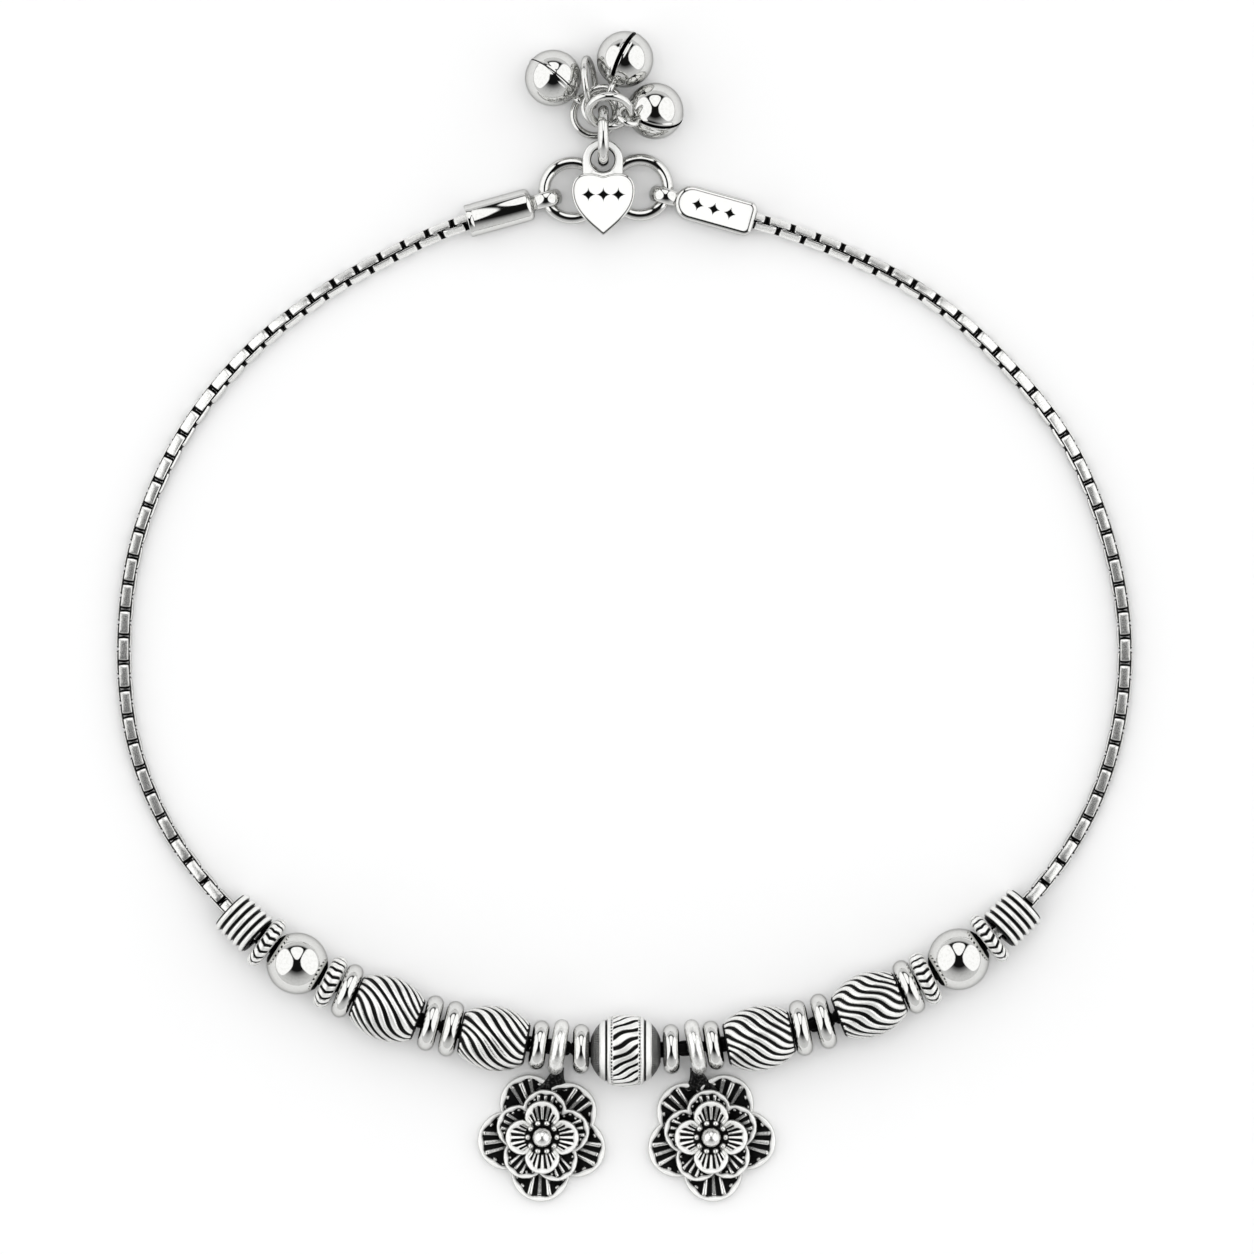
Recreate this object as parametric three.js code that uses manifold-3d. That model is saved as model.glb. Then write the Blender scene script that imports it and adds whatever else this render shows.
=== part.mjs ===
// Payal anklet of oxidised silver, lying closed on a table: a box chain, a row of beads with
// two cast flowers in front, and at the back a clasp with a heart tag and three small bells.
// Millimetres, +Z up, +Y towards the bells. The table is z = 0.
import * as THREE from "three";
import { mergeVertices } from "three/addons/utils/BufferGeometryUtils.js";
import Module from "manifold-3d";

const wasm = await Module();
wasm.setup();

// Chain
const CHAIN_DIAMETER = 1.4;
const CHAIN_SIDES = 8;
const CHAIN_STEPS = 80;
const CLASP_AXIS = 1.5; // height of the end pieces' axis

// Bead row
const BORE_RADIUS = 1.1; // of the beads
const RING_BORE_RADIUS = 1.25; // of the spacer rings, which hang looser
const RING_DROP = 0.4; // how far a spacer ring may hang below the chain's axis
const BEAD_SIDES = 14;
const RING_SIDES = 12;
const RING_CROWN = 0.75; // depth of a spacer ring's rounded outside
const RING_SIZE = { diameter: 5.1, thickness: 1.55 };
const NARROW_RING_SIZE = { diameter: 4.5, thickness: 1.5 };
const CHEVRON_SIZE = { diameter: 5.05, thickness: 1.3 };
const WIDE_CHEVRON_SIZE = { diameter: 5.05, thickness: 1.5 };
const STOPPER_SIZE = { diameter: 4.2, length: 3.5, ridges: 5, groove: 0.28 };
const BALL_DIAMETER = 5.56;
const BARREL_SIZE = { diameter: 5.8, end: 3.4, length: 6.1, fullness: 0.66 };
const CENTRE_SIZE = { diameter: 6.5, length: 6.3, reach: 3.3, power: 2.4 };

// Flowers
const BAIL_RING_SIZE = { diameter: 5.1, thickness: 1.4 };
// Bar from a bail ring down to its flower: where it starts on the ring and ends on the petals.
const TAB = { width: 1.7, height: 0.9, below: 1.75, beyond: 1.2, level: 0.55, inwards: 0.75, spare: 0.8 };
const FLOWER_BALL = { radius: 0.86, above: 0.45 };
const SEED = { count: 10, radius: 0.24, circle: 1.32 };
const PETALS = {
  outer: { reach: 3.2, lobe: 2.65, top: 0.95, bevel: 0.25, points: 50 },
  middle: { reach: 2.3, lobe: 2.0, top: 1.6, bevel: 0.25, points: 40 },
  inner: { reach: 1.7, lobe: 1.6, top: 2.2, bevel: 0.25, points: 32 },
};
// Directions of the petals of the left flower, in degrees; the right flower mirrors the outer ones.
const OUTER_ANGLES = [112, 45, -18, -93, -174];
const MIDDLE_ANGLES = [85, 157, 229, 301, 13];
const INNER_ANGLES = [90, 180, 270, 0];

// Clasp
const EYE = { radius: 1.12, wire: 0.38, width: 0.7 }; // width is half the strap's, seen from above
const CAP = { diameter: 2.97, length: 6.0, bore: 1.9, depth: 3.4, rounding: 0.45, lip: 0.1 };
const CAP_NECK = { start: 1.31, length: 0.35, radius: 0.55 }; // start is from the eye's centre
const TAG = { width: 3.15, length: 7.4, height: 2.6, bevel: 0.35, bore: 1.9, depth: 3.0 };
const TAG_NOSE = 0.91; // from the eye's centre to the tag's rounded end
const TAG_CORNER = 0.4;
const BIG_RING = { radius: 2.5, wire: 0.54 };
const HEART = { width: 5.7, height: 5.65, thickness: 1.0, bevel: 0.16, above: 0.3 };
const HEART_LOBE = 0.28; // share of the width that the lobes rise over their centres
const HEART_BAIL = { radius: 1.82, hole: 1.05, step: 0.12 };
const STAPLE = { reach: 1.62, wire: 0.34, height: 0.36, forward: 0.2 };
const LINK_RING = { radius: 2.27, wire: 0.5 };

// Bell drop
const BELL = { radius: 2.55, wall: 0.35, slit: 0.3, joined: 0.5 };
const BELL_EYE_WIRE = 0.28;
const BELL_COLLAR = { radius: 0.48, sunk: 0.15 };
const WIRE_SIDES = 6;

const silver = (name, colour = 0xd9d9d6, roughness = 0.16) =>
  new THREE.MeshStandardMaterial({ name, color: colour, roughness, metalness: 1 });
const polishedSilver = silver("polished_silver");
const oxidisedSilver = silver("oxidised_silver", 0xa3a3a1, 0.3);

// Route of the chain's axis, from inside the left end cap round the front to inside the right tag.
const ROUTE = [
  { x: -11.0, y: 36.45, z: 1.5 },
  { x: -13.6, y: 35.7, z: 1.5 },
  { x: -16.5, y: 34.7, z: 1.2 },
  { x: -20.2, y: 33.0, z: 0.8 },
  { x: -27.6, y: 28.8, z: 0.78 },
  { x: -34.5, y: 23.1, z: 0.78 },
  { x: -40.1, y: 15.8, z: 0.78 },
  { x: -43.8, y: 7.2, z: 0.78 },
  { x: -45.1, y: -2.1, z: 0.78 },
  { x: -44.2, y: -11.5, z: 0.78 },
  { x: -40.7, y: -19.8, z: 0.84 },
  { x: -34.3, y: -27.5, z: 2.3 },
  { x: -29.4, y: -31.2, z: 2.8 },
  { x: -21.4, y: -35.2, z: 2.92 },
  { x: -11.8, y: -37.9, z: 3.0 },
  { x: 0.1, y: -39.0, z: 3.25 },
  { x: 12.1, y: -37.9, z: 3.0 },
  { x: 22.0, y: -34.9, z: 2.92 },
  { x: 29.9, y: -30.9, z: 2.8 },
  { x: 34.8, y: -27.2, z: 2.3 },
  { x: 40.9, y: -19.5, z: 0.84 },
  { x: 44.1, y: -11.5, z: 0.78 },
  { x: 45.08, y: -2.1, z: 0.78 },
  { x: 43.5, y: 7.2, z: 0.78 },
  { x: 39.9, y: 15.7, z: 0.78 },
  { x: 34.3, y: 22.8, z: 0.78 },
  { x: 27.7, y: 28.6, z: 0.78 },
  { x: 20.1, y: 32.7, z: 0.8 },
  { x: 14.6, y: 34.8, z: 1.2 },
  { x: 11.7, y: 35.65, z: 1.5 },
  { x: 9.2, y: 36.35, z: 1.5 },
];
const route = new THREE.CatmullRomCurve3(
  ROUTE.map(({ x, y, z }) => new THREE.Vector3(x, y, z)),
  false,
  "centripetal",
);

// Beads in order along the row: where each sits across the width, and how far it leans off the chain.
const BEADS = [
  { name: "stopper_left", kind: "stopper", x: -34.24, lean: 0 },
  { name: "chevron_ring_1", kind: "chevron", x: -32.19, lean: 0 },
  { name: "ball_left", kind: "ball", x: -29.43, lean: 0 },
  { name: "chevron_ring_2", kind: "wideChevron", x: -26.47, lean: 1 },
  { name: "plain_ring_1", kind: "ring", x: -24.94, lean: 3 },
  { name: "barrel_1", kind: "barrel", x: -21.35, lean: 0 },
  { name: "plain_ring_2", kind: "ring", x: -17.45, lean: 2 },
  { name: "plain_ring_3", kind: "ring", x: -15.61, lean: 1 },
  { name: "barrel_2", kind: "barrel", x: -11.75, lean: 0 },
  { name: "plain_ring_4", kind: "narrow", x: -7.7, lean: -2 },
  { name: "flower_left", kind: "bail", x: -6.0, lean: -4 },
  { name: "plain_ring_5", kind: "narrow", x: -3.9, lean: 3 },
  { name: "centre_bead", kind: "centre", x: 0.1, lean: 0 },
  { name: "plain_ring_6", kind: "narrow", x: 4.2, lean: -2 },
  { name: "flower_right", kind: "bail", x: 6.4, lean: 6 },
  { name: "plain_ring_7", kind: "narrow", x: 8.0, lean: 3 },
  { name: "barrel_3", kind: "barrel", x: 12.1, lean: 0 },
  { name: "plain_ring_8", kind: "ring", x: 15.88, lean: -5 },
  { name: "plain_ring_9", kind: "ring", x: 17.9, lean: -3 },
  { name: "barrel_4", kind: "barrel", x: 22.02, lean: 0 },
  { name: "plain_ring_10", kind: "ring", x: 25.58, lean: -3 },
  { name: "chevron_ring_3", kind: "wideChevron", x: 27.06, lean: -3 },
  { name: "ball_right", kind: "ball", x: 30.05, lean: 0 },
  { name: "chevron_ring_4", kind: "chevron", x: 32.82, lean: 0 },
  { name: "stopper_right", kind: "stopper", x: 34.9, lean: 0 },
];
const FLOWERS = {
  flower_left: { x: -7.4, y: -46.85, mirror: 1 },
  flower_right: { x: 7.8, y: -46.85, mirror: -1 },
};

// Clasp and bells: centres on the plan. headings are degrees from +X.
const CAP_EYE = { x: -7.08, y: 37.55, heading: 15.5 };
const TAG_EYE = { x: 3.7, y: 37.87, heading: -15.5 };
const RING_CENTRES = { left: { x: -4.72, y: 38.4 }, right: { x: 1.38, y: 38.67 } };
const HEART_CENTRE = { x: -1.9, y: 38.3 }; // midway between its lobes
const BAIL_CENTRE = { x: -1.95, y: 41.1 };
const LINK_CENTRE = { x: -1.9, y: 43.25, z: 2.8 };
const BELL_RINGS = [
  { name: "bell_ring_1", x: -2.7, y: 45.22, z: 1.6, radius: 1.9, wire: 0.34, tilt: 0 },
  { name: "bell_ring_2", x: -1.98, y: 45.93, z: 2.8, radius: 1.66, wire: 0.33, tilt: 0 },
  { name: "bell_ring_3", x: -1.35, y: 45.4, z: 4.85, radius: 1.85, wire: 0.37, tilt: 45 },
];
const SPARE_RING = { x: -3.11, y: 48.07, z: 2.56, radius: 2.15, wire: 0.3, heading: 98, lean: 12 };
const BELLS = [
  { name: "bell_1", ring: 0, x: -6.42, y: 48.47, eye: 0.76, roll: -10 },
  { name: "bell_2", ring: 1, x: 0.05, y: 50.155, eye: 0.78, roll: 12 },
  { name: "bell_3", ring: 2, x: 2.75, y: 45.5, eye: 0.95, roll: 21 },
];

const radians = THREE.MathUtils.degToRad;

// A geometry as a solid that can be joined and cut.
function solid(geometry) {
  const bare = geometry.clone();
  bare.deleteAttribute("normal");
  bare.deleteAttribute("uv");
  const merged = mergeVertices(bare, 1e-4);
  return new wasm.Manifold(
    new wasm.Mesh({
      numProp: 3,
      vertProperties: merged.attributes.position.array,
      triVerts: new Uint32Array(merged.index.array),
    }),
  );
}

function geometryOf(made) {
  const mesh = made.getMesh();
  const geometry = new THREE.BufferGeometry();
  geometry.setAttribute("position", new THREE.BufferAttribute(mesh.vertProperties, 3));
  geometry.setIndex(new THREE.BufferAttribute(mesh.triVerts, 1));
  return geometry;
}

const joined = (geometries) =>
  geometries.map(solid).reduce((whole, next) => whole.add(next));

// Turns a profile of [along, radius] corners round the X axis.
function turned(profile, sides) {
  const points = profile.map(([along, radius]) => new THREE.Vector2(radius, along));
  return new THREE.LatheGeometry(points, sides).rotateZ(-Math.PI / 2);
}

const named = (name, geometry, material) => {
  const mesh = new THREE.Mesh(geometry, material);
  mesh.name = name;
  return mesh;
};

const tube = (curve, radius, sides, steps) => {
  const section = new THREE.Shape();
  for (let i = 0; i < sides; i += 1) {
    const angle = (i / sides) * 2 * Math.PI;
    section[i ? "lineTo" : "moveTo"](radius * Math.cos(angle), radius * Math.sin(angle));
  }
  section.closePath();
  return new THREE.ExtrudeGeometry(section, { extrudePath: curve, steps });
};

// Profiles of the beads, from the left end along the outside and back through the bore.
function bored(outside, bore) {
  const first = outside[0];
  const last = outside[outside.length - 1];
  return [[first[0], bore], ...outside, [last[0], bore], [first[0], bore]];
}

// A spacer ring's outside is a half ellipse on a straight flank.
function ringProfile({ diameter, thickness }) {
  const half = thickness / 2;
  const outer = diameter / 2;
  const outside = [-90, -50, -18, 18, 50, 90].map((degrees) => {
    const angle = radians(degrees);
    return [half * Math.sin(angle), outer - RING_CROWN + RING_CROWN * Math.cos(angle)];
  });
  return bored(outside, RING_BORE_RADIUS);
}

function ballProfile() {
  const radius = BALL_DIAMETER / 2;
  const from = Math.asin(BORE_RADIUS / radius);
  const steps = 8;
  const outside = Array.from({ length: steps + 1 }, (_, i) => {
    const angle = from + ((Math.PI - 2 * from) * i) / steps;
    return [-radius * Math.cos(angle), radius * Math.sin(angle)];
  });
  return [...outside, outside[0]];
}

// A barrel swells from its end diameter to its full diameter as a sine.
function barrelProfile({ diameter, end, length, fullness }, steps) {
  const outside = Array.from({ length: steps + 1 }, (_, i) => {
    const share = i / steps;
    const swell = Math.sin(Math.PI * share) ** fullness;
    return [(share - 0.5) * length, (end + (diameter - end) * swell) / 2];
  });
  return bored(outside, BORE_RADIUS);
}

// The centre bead is rounder: a superellipse that would close a little past its ends.
function centreProfile({ diameter, length, reach, power }, steps) {
  const outside = Array.from({ length: steps + 1 }, (_, i) => {
    const along = (i / steps - 0.5) * length;
    return [along, (diameter / 2) * Math.sqrt(1 - (Math.abs(along) / reach) ** power)];
  });
  return bored(outside, BORE_RADIUS);
}

function stopperProfile({ diameter, length, ridges, groove }) {
  const pitch = length / ridges;
  const outer = diameter / 2;
  const outside = [];
  for (let i = 0; i < ridges; i += 1) {
    const start = -length / 2 + i * pitch;
    outside.push([start, outer - groove], [start + 0.25 * pitch, outer], [start + 0.75 * pitch, outer]);
  }
  outside.push([length / 2, outer - groove]);
  return bored(outside, BORE_RADIUS);
}

const BEAD_KINDS = {
  ring: () => turned(ringProfile(RING_SIZE), RING_SIDES),
  narrow: () => turned(ringProfile(NARROW_RING_SIZE), RING_SIDES),
  chevron: () => turned(ringProfile(CHEVRON_SIZE), RING_SIDES),
  wideChevron: () => turned(ringProfile(WIDE_CHEVRON_SIZE), RING_SIDES),
  bail: () => turned(ringProfile(BAIL_RING_SIZE), RING_SIDES),
  ball: () => turned(ballProfile(), BEAD_SIDES),
  barrel: () => turned(barrelProfile(BARREL_SIZE, 9), BEAD_SIDES),
  centre: () => turned(centreProfile(CENTRE_SIZE, 12), BEAD_SIDES),
  stopper: () => turned(stopperProfile(STOPPER_SIZE), RING_SIDES),
};
const BEAD_RADII = {
  ring: RING_SIZE.diameter / 2,
  narrow: NARROW_RING_SIZE.diameter / 2,
  chevron: CHEVRON_SIZE.diameter / 2,
  wideChevron: WIDE_CHEVRON_SIZE.diameter / 2,
  bail: BAIL_RING_SIZE.diameter / 2,
};
const POLISHED_KINDS = ["ring", "narrow", "ball"];

// The route's point and level heading where the bead row passes a given x.
function seatAt(x) {
  let low = 0.3;
  let high = 0.7;
  for (let i = 0; i < 40; i += 1) {
    const middle = (low + high) / 2;
    if (route.getPointAt(middle).x < x) {
      low = middle;
    } else {
      high = middle;
    }
  }
  const point = route.getPointAt(low);
  const tangent = route.getTangentAt(low);
  return { point, heading: Math.atan2(tangent.y, tangent.x), slope: Math.asin(tangent.z) };
}

// A spacer ring rests on the table where the chain lets it; the other beads are centred on the chain.
function seatOf({ kind, x, lean }) {
  const { point, heading, slope } = seatAt(x);
  const radius = BEAD_RADII[kind];
  if (radius) {
    point.z = Math.max(radius, point.z - RING_DROP);
  }
  const level = radius ? 0 : slope;
  return { point, rotation: new THREE.Euler(0, -level, heading + radians(lean), "ZYX") };
}

// Distance from a flower's centre to the edge of its lobed outline in one direction.
function lobedRadius(angle, petalAngles, { reach, lobe }) {
  return petalAngles.reduce((furthest, degrees) => {
    const off = angle - radians(degrees);
    const beside = reach * Math.sin(off);
    if (Math.cos(off) <= 0 || Math.abs(beside) >= lobe) {
      return furthest;
    }
    return Math.max(furthest, reach * Math.cos(off) + Math.sqrt(lobe ** 2 - beside ** 2));
  }, lobe);
}

function petalLayer(layer, petalAngles) {
  const outline = Array.from({ length: layer.points }, (_, i) => {
    const angle = (i / layer.points) * 2 * Math.PI;
    const radius = lobedRadius(angle, petalAngles, layer) - layer.bevel;
    return new THREE.Vector2(radius * Math.cos(angle), radius * Math.sin(angle));
  });
  return new THREE.ExtrudeGeometry(new THREE.Shape(outline), {
    depth: layer.top - 2 * layer.bevel,
    bevelThickness: layer.bevel,
    bevelSize: layer.bevel,
    bevelSegments: 1,
  }).translate(0, 0, layer.bevel);
}

function flowerGeometry({ x, y, mirror }, bead) {
  const turn = (angles) => angles.map((degrees) => (mirror > 0 ? degrees : 180 - degrees));
  const parts = [
    petalLayer(PETALS.outer, turn(OUTER_ANGLES)),
    petalLayer(PETALS.middle, turn(MIDDLE_ANGLES)),
    petalLayer(PETALS.inner, turn(INNER_ANGLES)),
    new THREE.SphereGeometry(FLOWER_BALL.radius, 10, 8)
      .rotateX(Math.PI / 2)
      .translate(0, 0, PETALS.inner.top + FLOWER_BALL.above),
  ];
  for (let i = 0; i < SEED.count; i += 1) {
    const angle = (i / SEED.count) * 2 * Math.PI;
    parts.push(
      new THREE.SphereGeometry(SEED.radius, 6, 4)
        .rotateX(Math.PI / 2)
        .translate(SEED.circle * Math.cos(angle), SEED.circle * Math.sin(angle), PETALS.inner.top),
    );
  }
  const { point, rotation } = seatOf(bead);
  const ring = BEAD_KINDS.bail();
  ring.applyMatrix4(new THREE.Matrix4().makeRotationFromEuler(rotation));
  const centre = new THREE.Vector3(point.x - x, point.y - y, point.z);
  ring.translate(centre.x, centre.y, centre.z);
  const foot = new THREE.Vector3(centre.x, centre.y - TAB.below, centre.z - TAB.below);
  const toe = new THREE.Vector3(centre.x * TAB.inwards, PETALS.outer.reach + TAB.beyond, TAB.level);
  const tab = new THREE.BoxGeometry(TAB.width, foot.distanceTo(toe) + TAB.spare, TAB.height);
  tab.rotateX(Math.atan2(foot.z - toe.z, foot.y - toe.y));
  tab.translate((foot.x + toe.x) / 2, (foot.y + toe.y) / 2, (foot.z + toe.z) / 2);
  return geometryOf(joined([...parts, ring, tab]).subtract(boreOf(point, rotation, x, y)));
}

// The bore of a bail ring, cut once more so that the tab doesn't close it.
function boreOf(point, rotation, x, y) {
  const bore = new THREE.CylinderGeometry(RING_BORE_RADIUS, RING_BORE_RADIUS, 4, RING_SIDES);
  bore.rotateZ(-Math.PI / 2);
  bore.applyMatrix4(new THREE.Matrix4().makeRotationFromEuler(rotation));
  return solid(bore.translate(point.x - x, point.y - y, point.z));
}

function beadMesh(bead) {
  const flower = FLOWERS[bead.name];
  if (flower) {
    const mesh = named(bead.name, flowerGeometry(flower, bead), oxidisedSilver);
    mesh.position.set(flower.x, flower.y, 0);
    return mesh;
  }
  const material = POLISHED_KINDS.includes(bead.kind) ? polishedSilver : oxidisedSilver;
  const mesh = named(bead.name, BEAD_KINDS[bead.kind](), material);
  const { point, rotation } = seatOf(bead);
  mesh.position.copy(point);
  mesh.rotation.copy(rotation);
  return mesh;
}

// An upright eye of flattened wire whose centre is at the origin.
const eyeGeometry = () =>
  new THREE.TorusGeometry(EYE.radius, EYE.wire, WIRE_SIDES, 12)
    .scale(1, 1, EYE.width / EYE.wire)
    .rotateX(Math.PI / 2);

// End cap: its eye is at the origin and the chain enters from -X.
function capGeometry() {
  const shoulder = -CAP_NECK.start;
  const mouth = shoulder - CAP.length;
  const outer = CAP.diameter / 2;
  const bore = CAP.bore / 2;
  const body = turned(
    [
      [mouth + CAP.depth, 0],
      [mouth + CAP.depth, bore],
      [mouth, bore],
      [mouth, outer - CAP.lip],
      [mouth + CAP.lip, outer],
      [shoulder - CAP.rounding, outer],
      [shoulder - CAP.rounding / 3, outer - CAP.rounding / 3],
      [shoulder, outer - CAP.rounding],
      [shoulder + CAP_NECK.length, CAP_NECK.radius],
      [shoulder + CAP_NECK.length, 0],
    ],
    BEAD_SIDES,
  );
  return geometryOf(joined([body, eyeGeometry()]));
}

// End tag: its eye is at the origin and the chain enters from +X.
function tagGeometry() {
  const half = TAG.width / 2 - TAG.bevel;
  const start = TAG_NOSE + TAG.bevel + half;
  const end = TAG_NOSE + TAG.length - TAG.bevel;
  const outline = new THREE.Shape();
  outline.moveTo(end - TAG_CORNER, -half);
  outline.quadraticCurveTo(end, -half, end, -half + TAG_CORNER);
  outline.lineTo(end, half - TAG_CORNER);
  outline.quadraticCurveTo(end, half, end - TAG_CORNER, half);
  outline.lineTo(start, half);
  outline.absarc(start, 0, half, Math.PI / 2, 1.5 * Math.PI, false);
  outline.closePath();
  const body = new THREE.ExtrudeGeometry(outline, {
    depth: TAG.height - 2 * TAG.bevel,
    bevelThickness: TAG.bevel,
    bevelSize: TAG.bevel,
    bevelSegments: 1,
    curveSegments: 8,
  }).translate(0, 0, TAG.bevel - TAG.height / 2);
  const bore = new THREE.CylinderGeometry(TAG.bore / 2, TAG.bore / 2, 2 * TAG.depth, BEAD_SIDES)
    .rotateZ(Math.PI / 2)
    .translate(TAG_NOSE + TAG.length, 0, 0);
  return geometryOf(joined([body, eyeGeometry()]).subtract(solid(bore)));
}

// A heart round the centre of its lobes, inset by the bevel. Its sides are widest at y = 0, swell
// on the way down to the tip, and round over to the lobes.
function heartOutline() {
  const lobe = HEART.width * HEART_LOBE;
  const side = HEART.width / 2;
  const tip = lobe - HEART.height;
  const inner = { side: side - HEART.bevel, lobe: lobe - HEART.bevel, tip: tip + HEART.bevel };
  const peak = side * 0.45;
  const plate = new THREE.Shape();
  plate.moveTo(0, inner.tip);
  plate.bezierCurveTo(side * 0.42, tip * 0.74, side, tip * 0.46, inner.side, 0);
  plate.bezierCurveTo(inner.side, lobe * 0.75, side * 0.75, lobe, peak, inner.lobe);
  plate.lineTo(-peak, inner.lobe);
  plate.bezierCurveTo(-side * 0.75, lobe, -inner.side, lobe * 0.75, -inner.side, 0);
  plate.bezierCurveTo(-side, tip * 0.46, -side * 0.42, tip * 0.74, 0, inner.tip);
  return plate;
}

// Heart plate and bail with the staple below that holds both big rings. The origin is on the
// plan's centre of the lobes at the height of the rings.
function heartGeometry() {
  const plate = heartOutline();
  const bailX = BAIL_CENTRE.x - HEART_CENTRE.x;
  const bailY = BAIL_CENTRE.y - HEART_CENTRE.y;
  const rim = HEART_BAIL.radius - HEART.bevel;
  const bail = new THREE.Shape();
  bail.moveTo(bailX - rim, 0);
  bail.lineTo(bailX + rim, 0);
  bail.lineTo(bailX + rim, bailY);
  bail.absarc(bailX, bailY, rim, 0, Math.PI, false);
  bail.closePath();
  const hole = new THREE.Path();
  hole.absarc(bailX, bailY, HEART_BAIL.hole + HEART.bevel, 0, 2 * Math.PI, true);
  bail.holes.push(hole);
  const underside = BIG_RING.wire + HEART.above;
  const plates = [
    { shape: plate, thickness: HEART.thickness },
    { shape: bail, thickness: HEART.thickness - HEART_BAIL.step },
  ].map(({ shape, thickness }) =>
    new THREE.ExtrudeGeometry(shape, {
      depth: thickness - 2 * HEART.bevel,
      bevelThickness: HEART.bevel,
      bevelSize: HEART.bevel,
      bevelSegments: 1,
      curveSegments: 6,
    }).translate(0, 0, underside + HEART.bevel),
  );
  const shift = (RING_CENTRES.left.x + RING_CENTRES.right.x) / 2 - HEART_CENTRE.x;
  const foot = STAPLE.height - CLASP_AXIS;
  const spare = STAPLE.wire * 0.8; // each leg runs past its corner by this
  const corners = [
    [-STAPLE.reach, underside + STAPLE.wire],
    [-STAPLE.reach, foot],
    [STAPLE.reach, foot],
    [STAPLE.reach, underside + STAPLE.wire],
  ].map(([x, z]) => new THREE.Vector3(x + shift, STAPLE.forward, z));
  const legs = corners.slice(1).map((corner, i) => {
    const length = corner.distanceTo(corners[i]) + 2 * spare;
    const upright = corner.x === corners[i].x;
    const leg = new THREE.CylinderGeometry(STAPLE.wire, STAPLE.wire, length, WIRE_SIDES);
    if (upright) {
      leg.rotateX(Math.PI / 2);
    } else {
      leg.rotateZ(Math.PI / 2);
    }
    const middle = corner.clone().add(corners[i]).multiplyScalar(0.5);
    return leg.translate(middle.x, middle.y, middle.z + (upright ? spare : 0));
  });
  return geometryOf(joined([...plates, ...legs]));
}

const torus = ({ radius, wire }, steps) =>
  new THREE.TorusGeometry(radius, wire, WIRE_SIDES, steps);

// A bell with its centre at the origin and its eye along +X. The slit runs round from the side
// away from the eye, in the XY plane rolled about the eye's axis. A collar carries the eye.
function bellGeometry(eyeAt, eyeRadius, roll) {
  const shell = solid(new THREE.SphereGeometry(BELL.radius, 14, 9).rotateZ(Math.PI / 2));
  const inside = solid(
    new THREE.SphereGeometry(BELL.radius - BELL.wall, 10, 7).rotateZ(Math.PI / 2),
  );
  const cut = new THREE.BoxGeometry(2 * BELL.radius, 3 * BELL.radius, BELL.slit);
  cut.translate((BELL.joined - 1) * BELL.radius, 0, 0).rotateX(radians(roll));
  const eye = new THREE.TorusGeometry(eyeRadius, BELL_EYE_WIRE, WIRE_SIDES, 12);
  eye.translate(eyeAt, 0, 0);
  const base = BELL.radius - BELL_COLLAR.sunk;
  const top = eyeAt - eyeRadius;
  const collar = new THREE.CylinderGeometry(BELL_COLLAR.radius, BELL_COLLAR.radius, top - base, 8)
    .rotateZ(Math.PI / 2)
    .translate((base + top) / 2, 0, 0);
  const outside = joined([eye, collar]).subtract(inside);
  return geometryOf(shell.subtract(inside).subtract(solid(cut)).add(outside));
}

// Where a bell ring comes nearest to a bell, and the direction of its wire there.
function eyePlace(ring, bell) {
  const centre = new THREE.Vector3(ring.x, ring.y, ring.z);
  const normal = new THREE.Vector3(0, -Math.sin(radians(ring.tilt)), Math.cos(radians(ring.tilt)));
  const towards = bell.clone().sub(centre);
  towards.addScaledVector(normal, -towards.dot(normal)).normalize();
  return {
    point: centre.addScaledVector(towards, ring.radius),
    along: new THREE.Vector3().crossVectors(normal, towards),
  };
}

function bellMesh({ name, ring, x, y, eye, roll }) {
  const centre = new THREE.Vector3(x, y, BELL.radius);
  const { point, along } = eyePlace(BELL_RINGS[ring], centre);
  const reach = point.distanceTo(centre);
  const forward = point.clone().sub(centre).normalize();
  const across = along.clone().addScaledVector(forward, -along.dot(forward)).normalize();
  const up = new THREE.Vector3().crossVectors(across, forward);
  const mesh = named(name, bellGeometry(reach, eye, roll), polishedSilver);
  mesh.position.copy(centre);
  mesh.quaternion.setFromRotationMatrix(new THREE.Matrix4().makeBasis(forward, up, across));
  return mesh;
}

const anklet = new THREE.Group();

anklet.add(
  named("chain", tube(route, CHAIN_DIAMETER / 2, CHAIN_SIDES, CHAIN_STEPS), oxidisedSilver),
);
BEADS.forEach((bead) => anklet.add(beadMesh(bead)));

const cap = named("end_cap_left", capGeometry(), polishedSilver);
cap.position.set(CAP_EYE.x, CAP_EYE.y, CLASP_AXIS);
cap.rotation.z = radians(CAP_EYE.heading);
const tag = named("end_tag_right", tagGeometry(), polishedSilver);
tag.position.set(TAG_EYE.x, TAG_EYE.y, CLASP_AXIS);
tag.rotation.z = radians(TAG_EYE.heading);
const heart = named("heart_tag", heartGeometry(), polishedSilver);
heart.position.set(HEART_CENTRE.x, HEART_CENTRE.y, CLASP_AXIS);
anklet.add(cap, tag, heart);

Object.entries(RING_CENTRES).forEach(([side, { x, y }]) => {
  const ring = named("big_ring_" + side, torus(BIG_RING, 20), polishedSilver);
  ring.position.set(x, y, CLASP_AXIS);
  anklet.add(ring);
});

const linkRing = named("link_ring", torus(LINK_RING, 18), polishedSilver);
linkRing.position.set(LINK_CENTRE.x, LINK_CENTRE.y, LINK_CENTRE.z);
linkRing.rotation.y = Math.PI / 2;
anklet.add(linkRing);

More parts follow.
